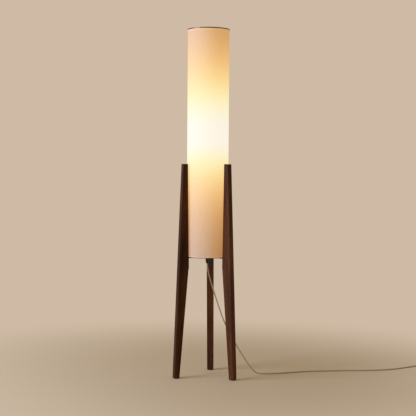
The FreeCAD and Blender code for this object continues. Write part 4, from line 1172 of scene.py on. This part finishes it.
@dataclass
class Shade:
    """Linen tube on white film, folded hems, lap seam, hoops and the bronze rim."""

    segments: int = 192
    rows: int = 40
    wire_sides: int = 20
    hem_roll: float = 0.45 * MM
    hem_ease: float = 0.5 * MM
    film_ease: float = 0.1 * MM
    rim_height: float = 2.2 * MM
    rim_stand: float = 0.7 * MM
    rim_ease: float = 0.3 * MM
    seam_lift: float = 0.02 * MM
    seam_ease: float = 0.15 * MM
    cloth: LitCloth = LitCloth("pasted_linen")
    # The tape's paler tone is partly its own and partly a painted highlight for the light that the rolled
    # hems catch
    tape: LitCloth = LitCloth("folded_linen_tape", cloth="#C6C3BA", slub="#BAB6AB")
    film: LitCloth = LitCloth("white_pvc_film", cloth="#D9D4C8", slub="#D2CCBE", relief=0.02 * MM)

    def band(self, name: str, node: str, swell: float, ease: float) -> bpy.types.Object:
        """Ring in the radii and heights of a node, its outer face swollen.

        Args:
            name: the piece's name.
            node: the node whose box gives its outer radius and heights.
            swell: how far the outer face stands out in its middle.
            ease: how much of each side the corners take.

        Returns:
            The piece.
        """
        inner, outer, low, high = ring_sizes(node)
        corners = band_profile(inner, outer, low, high)
        corners.insert(2, (outer + swell, (low + high) / 2))
        return make_piece(name, [turned(softened(corners, ease), self.segments)])

    def lower_rim(self) -> bpy.types.Object:
        """Thin bronze edging round the foot of the lower hem.

        Returns:
            The piece.
        """
        _, hem, low, _ = ring_sizes("shade_hem_lower")
        corners = band_profile(hem, hem + self.rim_stand, low, low + self.rim_height)
        return make_piece("rim_lower", [turned(softened(corners, self.rim_ease), self.segments)])

    def seam(self) -> bpy.types.Object:
        """Lap seam: a thin strip of cloth round the tube's rear, its long edges eased.

        Formula: the section's (angle, radius) points give x and y, and each height repeats them.

        Returns:
            The piece.
        """
        low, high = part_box("shade_seam")
        outer = high.y - AXIS[1]
        inner = SHADE_HIGH.x - AXIS[0] + self.seam_lift
        half_angle = math.asin((high.x - low.x) / 2 / outer)
        section = softened(band_profile(-half_angle, half_angle, inner, outer), self.seam_ease, steps=3)
        angle = math.pi / 2 - section[:, 0]
        ring = np.array(AXIS) + section[:, 1:] * np.stack([np.cos(angle), np.sin(angle)], -1)
        heights = np.linspace(low.z, high.z, self.rows)
        plan, height = np.broadcast_arrays(ring[None], heights[:, None, None])
        points = np.concatenate([plan, height[:, :, :1]], -1)
        around = length_along(np.concatenate([ring, ring[:1]]))
        return make_piece("lap_seam", [tube(points, points.mean(axis=1), around, heights)])

    def hoop(self, name: str, node: str) -> bpy.types.Object:
        """Wire ring: a circle of wire turned round the axis.

        Args:
            name: the piece's name.
            node: the node whose box gives its sizes.

        Returns:
            The piece.
        """
        low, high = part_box(node)
        wire = (high.z - low.z) / 2
        angle = np.arange(self.wire_sides) / self.wire_sides * TAU
        radius = high.x - AXIS[0] - wire
        middle = (low.z + high.z) / 2
        profile = np.stack([radius + wire * np.cos(angle), middle + wire * np.sin(angle)], -1)
        return make_piece(name, [turned(profile, self.segments)], sharp_deg=180)

    def build(self) -> list[bpy.types.Object]:
        """Returns:
            The new pieces.
        """
        looks = (self.cloth, self.tape, self.film, HOOP_PAINT, BRONZE)
        linen, tape, film, paint, bronze = (look.build() for look in looks)
        inner, outer, low, high = ring_sizes("shade_fabric")
        walls = np.concatenate([wall(outer, low, high, self.rows), wall(inner, high, low, self.rows)])
        cloth = make_piece("shade_cloth", [turned(walls, self.segments)])
        lining = self.band("shade_lining", "shade_liner", 0.0, self.film_ease)
        pieces = [
            settle(cloth, Body.SHADE, "shade_fabric", linen, "shade_fabric"),
            settle(lining, Body.SHADE, "liner_plastic", film, "shade_liner"),
        ]
        for end in ("upper", "lower"):
            hem = self.band(f"hem_{end}", f"shade_hem_{end}", self.hem_roll, self.hem_ease)
            pieces.append(settle(hem, Body.SHADE, "shade_tape", tape, f"shade_hem_{end}"))
            hoop = self.hoop(f"hoop_{end}", f"shade_hoop_{end}")
            pieces.append(settle(hoop, Body.SHADE, "hoop_steel", paint, f"shade_hoop_{end}"))
        pieces.append(settle(self.seam(), Body.SHADE, "shade_fabric", linen, "shade_seam"))
        dress(bronze, "shade_top_trim")
        pieces.append(settle(self.lower_rim(), Body.SHADE, "bronze_trim", bronze))
        return pieces


@dataclass
class Bulb:
    """Opal globe lamp with its white skirt, light board and threaded cap."""

    wall: float = 0.4 * MM
    cone: float = 3.0 * MM
    thread_pitch: float = 3.63 * MM
    thread_depth: float = 1.0 * MM
    thread_start: float = 4.0 * MM
    thread_end: float = 19.0 * MM
    rows: int = 90
    segments: int = 72

    def cap(self) -> bpy.types.Object:
        """Screw cap: a shell whose outside is rolled into a round thread, above a cone at its foot.

        Returns:
            The piece.
        """
        inner, outer, low, high = ring_sizes("bulb_cap")
        foot = low + self.cone
        bore = outer - self.wall - self.thread_depth
        inside = [(bore, high), (bore, foot), (inner, low + self.wall)]
        outside = wall(outer, foot, high, self.rows)
        profile = np.concatenate([[(inner, low), (inner + self.wall, low)], outside, inside])
        ends = (low + self.thread_start, low + self.thread_end)
        relief = thread(self.thread_pitch, self.thread_depth, *ends)
        patch = turned(profile, self.segments, relief=relief, relief_rows=slice(2, 2 + self.rows))
        return make_piece("bulb_cap_threaded", [patch], sharp_deg=50)

    def build(self) -> list[bpy.types.Object]:
        """Build the cap and dress the rest.

        Returns:
            The new piece.
        """
        cap = settle(self.cap(), Body.BULB, "cap_nickel", NICKEL.build(), "bulb_cap")
        dress(OPAL.build(), "bulb_globe")
        dress(BULB_WHITE.build(), "bulb_skirt")
        dress(LIGHT_BOARD.build(), "bulb_board")
        dress(BLACK_GLASS.build(), "bulb_insulator")
        dress(BRASS.build(), "bulb_contact")
        return [cap]


@dataclass
class Legs:
    """Three walnut legs on felted pads."""

    # Each board's leg, turn in degrees, place in the log, and painted shade: how much darker its tone is
    # drawn
    cuts_and_shade: tuple[tuple[str, float, Triple, float], ...] = (
        ("rear", -90.0, (0.07, 0.16, 0.4), 0.0),
        ("left", -210.0, (0.1, -0.15, 1.7), 0.26),
        ("right", -330.0, (0.04, 0.19, 3.1), 0.05),
    )
    walnut: Walnut = field(default_factory=Walnut)

    def build(self) -> list[bpy.types.Object]:
        """Dress the legs, each cut from its own place in the log and drawn darker by its painted shade,
        and their pads and nails.

        Returns:
            The dressed pieces.
        """
        pieces = []
        pad = PAD.build()
        for cut in self.cuts_and_shade:
            pieces += dress(self.walnut.build(*cut), f"leg_{cut[0]}")
            pieces += dress(pad, f"foot_pad_{cut[0]}")
        return pieces + dress(ZINC.build(), "pad_nails")


@dataclass
class Bracket:
    """Folded steel bracket with its screws, hub stack, riser and cord grip.

    The face slope is how far a leg's inner face leans out, over the height in which it does.
    """

    leg_angles_deg: tuple[float, ...] = (90.0, 210.0, 330.0)
    face_slope: Pair = (5.5, 456.0)
    head_radius: float = 4.6 * MM
    head_height: float = 2.6 * MM
    head_rows: int = 25
    head_segments: int = 72
    shank_radius: float = 2.2 * MM
    shank_length: float = 22.0 * MM
    recess_reach: float = 2.5 * MM
    recess_width: float = 0.55 * MM
    recess_depth: float = 1.5 * MM
    thread_pitch: float = 1.0 * MM
    thread_depth: float = 0.5 * MM
    thread_lower: float = 42.0 * MM
    thread_upper: float = 26.0 * MM
    rows_per_turn: int = 8
    riser_segments: int = 32

    def screw(self) -> Patch:
        """Pan-head screw along +Z, its head's underside at the origin and its shank below.

        Formula: the head's top is H sqrt(1 - 0.75 s^2) high at the share s of its radius. The cross
        recess takes away its depth times (1.25 - m) / 0.5, held between 0 and 1, where m is the
        larger of min(|u|, |v|) / width and max(|u|, |v|) / reach, for u and v across the head.

        Returns:
            The patch.
        """
        lift = np.linspace(0, 1, self.head_rows + 1)[1:]
        top = np.stack([self.head_radius * lift, self.head_height * np.sqrt(1 - 0.75 * lift ** 2)], -1)
        rest = [
            (self.head_radius, 0.0),
            (self.shank_radius, 0.0),
            (self.shank_radius, 2 * self.shank_radius - self.shank_length),
            (0.0, -self.shank_length),
        ]
        profile = np.concatenate([[(0.0, self.head_height)], top, rest])
        patch = turned(profile, self.head_segments, centre=(0.0, 0.0), closed=False)
        across = np.abs(patch.points[:, :, :2])
        arm = np.maximum(across.min(-1) / self.recess_width, across.max(-1) / self.recess_reach)
        share = np.clip((1.25 - arm) / 0.5, 0, 1)
        share[len(top) + 1:] = 0
        patch.points[:, :, 2] -= self.recess_depth * share
        return patch

    def screw_places(self) -> list[Pair]:
        """Find where the two heads of a leg sit, from the frame's own screws.

        Returns:
            Height and reach from the lamp's axis of each head's underside.
        """
        points = mesh_points(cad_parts["leg_screws"].data) - np.array([*AXIS, 0])
        rear = points[(points[:, 1] > 0) & (np.abs(points[:, 0]) < 2 * self.head_radius)]
        middle = (rear[:, 2].min() + rear[:, 2].max()) / 2
        places = []
        for group in (rear[rear[:, 2] < middle], rear[rear[:, 2] > middle]):
            head = group[group[:, 1] < group[:, 1].min() + self.head_height / 2]
            places.append((head[:, 2].mean(), group[:, 1].min() + self.head_height))
        return places

    def leg_screws(self) -> bpy.types.Object:
        """Two screws at each leg, square to its sloping inner face.

        Returns:
            The piece.
        """
        slope = math.atan2(*self.face_slope)
        # The screw's +Z turns to point at the lamp's axis and up by the slope of the face
        tilt = Matrix.Rotation(math.radians(-90) + slope, 3, "Y")
        patches = []
        for height, reach in self.screw_places():
            for angle in (math.radians(degrees) for degrees in self.leg_angles_deg):
                turn = np.array(Matrix.Rotation(angle, 3, "Z") @ tilt)
                place = (AXIS[0] + reach * math.cos(angle), AXIS[1] + reach * math.sin(angle), height)
                patch = self.screw()
                patches.append(Patch(patch.points @ turn.T + place, False, True, patch.uv))
        return make_piece("leg_screw_set", patches)

    def riser(self) -> bpy.types.Object:
        """Hollow tube with a fine thread at each end.

        Returns:
            The piece.
        """
        bore, outer, low, high = ring_sizes("riser_tube")
        threaded = (self.thread_lower, self.thread_upper)
        spans = ((low, low + self.thread_lower), (high - self.thread_upper, high))
        counts = [int(length / self.thread_pitch * self.rows_per_turn) for length in threaded]
        outside = [wall(outer, *span, count) for span, count in zip(spans, counts)]
        ends = [thread(self.thread_pitch, self.thread_depth, *span) for span in spans]

        def relief(angle: np.ndarray, height: np.ndarray) -> np.ndarray:
            """What both threads add to the radius."""
            return ends[0](angle, height) + ends[1](angle, height)

        profile = np.concatenate([*outside, [(bore, high), (bore, low)]])
        patch = turned(profile, self.riser_segments, relief=relief, relief_rows=slice(0, sum(counts)))
        return make_piece("riser_threaded", [patch], sharp_deg=60)

    def build(self) -> list[bpy.types.Object]:
        """Build the screws and the riser, and dress the bracket and what is screwed to it.

        Returns:
            The new pieces.
        """
        black, zinc = POWDER_BLACK.build(), ZINC.build()
        dress(black, "leg_bracket")
        dress(zinc, "hub_washer_lower", "hub_washer_upper", "hub_nut_lower", "hub_nut_upper")
        dress(NYLON.build(), "cord_grip")
        return [
            settle(self.leg_screws(), Body.FRAME, "black_steel", black, "leg_screws"),
            settle(self.riser(), Body.FRAME, "zinc_steel", zinc, "riser_tube"),
        ]


@dataclass
class Lampholder:
    """Phenolic lampholder with its ceramic insert, threaded shell, contact and the lead inside."""

    thread_pitch: float = 3.63 * MM
    thread_depth: float = 0.3 * MM
    rows: int = 70
    segments: int = 72

    def shell(self) -> bpy.types.Object:
        """Thin threaded shell: both walls carry the same round thread.

        Returns:
            The piece.
        """
        inner, outer, low, high = ring_sizes("holder_shell")
        walls = np.concatenate([wall(outer, low, high, self.rows), wall(inner, high, low, self.rows)])
        relief = thread(self.thread_pitch, self.thread_depth, low, high)
        return make_piece("shell_threaded", [turned(walls, self.segments, relief=relief)], sharp_deg=60)

    def build(self) -> list[bpy.types.Object]:
        """Build the threaded shell and dress the other pieces.

        Returns:
            The new piece.
        """
        brass = BRASS.build()
        dress(PHENOLIC.build(), "holder_dome", "holder_sleeve")
        dress(STEATITE.build(), "holder_insert")
        dress(brass, "holder_contact", "holder_set_screw")
        dress(CORE_PVC.build(), "lead_cores")
        dress(INNER_BRAID.build(), "inner_lead")
        return [settle(self.shell(), Body.FRAME, "shell_brass", brass, "holder_shell")]


@dataclass
class FootSwitch:
    """Foot switch on the lead, its button ringed for grip."""

    rings: int = 4
    rows_per_ring: int = 12
    ring_depth: float = 0.35 * MM
    edge: float = 1.2 * MM
    edge_rows: int = 7
    flange: float = 1.5 * MM
    segments: int = 64

    def button(self) -> bpy.types.Object:
        """Button turned about its own upright axis.

        Formula: its top sinks by depth (1 - cos(2 pi n r / R)) / 2 at radius r, over n rings.

        Returns:
            The piece.
        """
        low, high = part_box("switch_button")
        centre = ((low.x + high.x) / 2, (low.y + high.y) / 2)
        rim = (high.x - low.x) / 2
        stem = rim - self.flange
        share = np.linspace(0, 1, self.rings * self.rows_per_ring + 1)
        crown = high.z - self.ring_depth * (1 - np.cos(TAU * self.rings * share)) / 2
        top = np.stack([(stem - self.edge) * share, crown], -1)
        turn = np.linspace(0, math.pi / 2, self.edge_rows + 1)[1:]
        shoulder = np.stack(
            [stem - self.edge * (1 - np.sin(turn)), high.z - self.edge * (1 - np.cos(turn))], -1
        )
        foot = [(stem, low.z + self.flange), (rim, low.z + self.flange), (rim, low.z), (0.0, low.z)]
        profile = np.concatenate([top, shoulder, foot])
        return make_piece("button_ringed", [turned(profile, self.segments, centre=centre, closed=False)])

    def build(self) -> list[bpy.types.Object]:
        """Build the button and dress the housing.

        Returns:
            The new piece.
        """
        dress(ABS.build(), "switch_base", "switch_cover", "switch_mechanism")
        dress(ZINC.build(), "switch_screws")
        return [settle(self.button(), Body.BUTTON, "button_plastic", NYLON.build(), "switch_button")]


@dataclass
class Plug:
    """Two-pin plug, its pins sleeved near the body."""

    sleeve_length: float = 10.0 * MM
    sleeve_stand: float = 0.06 * MM
    rings: int = 5
    sides: int = 32

    def pin_sleeves(self) -> bpy.types.Object:
        """Insulating sleeves: thin tubes round the pins, from the body outwards.

        Returns:
            The piece.
        """
        low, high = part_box("plug_pins")
        radius = (high.z - low.z) / 2
        walls = np.full((self.rings, self.sides), radius + self.sleeve_stand)
        patches = []
        for y in (low.y + radius, high.y - radius):
            start = np.array([high.x, y, (high.z + low.z) / 2])
            path = np.linspace(start, start - np.array([self.sleeve_length, 0, 0]), self.rings)
            patches.append(swept(path, (0, 0, 1), walls))
        return make_piece("pin_sleeves", patches)

    def build(self) -> list[bpy.types.Object]:
        """Build the pins' sleeves and dress the plug.

        Returns:
            The new piece.
        """
        body = ABS.build()
        dress(body, "plug_body")
        dress(NICKEL.build(), "plug_pins")
        return [settle(self.pin_sleeves(), Body.FRAME, "plug_plastic", body)]


def main() -> None:
    """Set up the studio, build every sub-assembly and report its pieces."""
    logging.basicConfig(level=logging.INFO, format="%(message)s")
    Studio().build()
    parts = (
        StrainReliefs(), CoilTie(), FootSwitch(), Plug(), Lead(),
        Shade(), Bulb(), Legs(), Bracket(), Lampholder(),
    )
    for part in parts:
        for piece in part.build():
            log.info("%s: %s", type(part).__name__, piece.name)


if __name__ == "__main__":
    main()
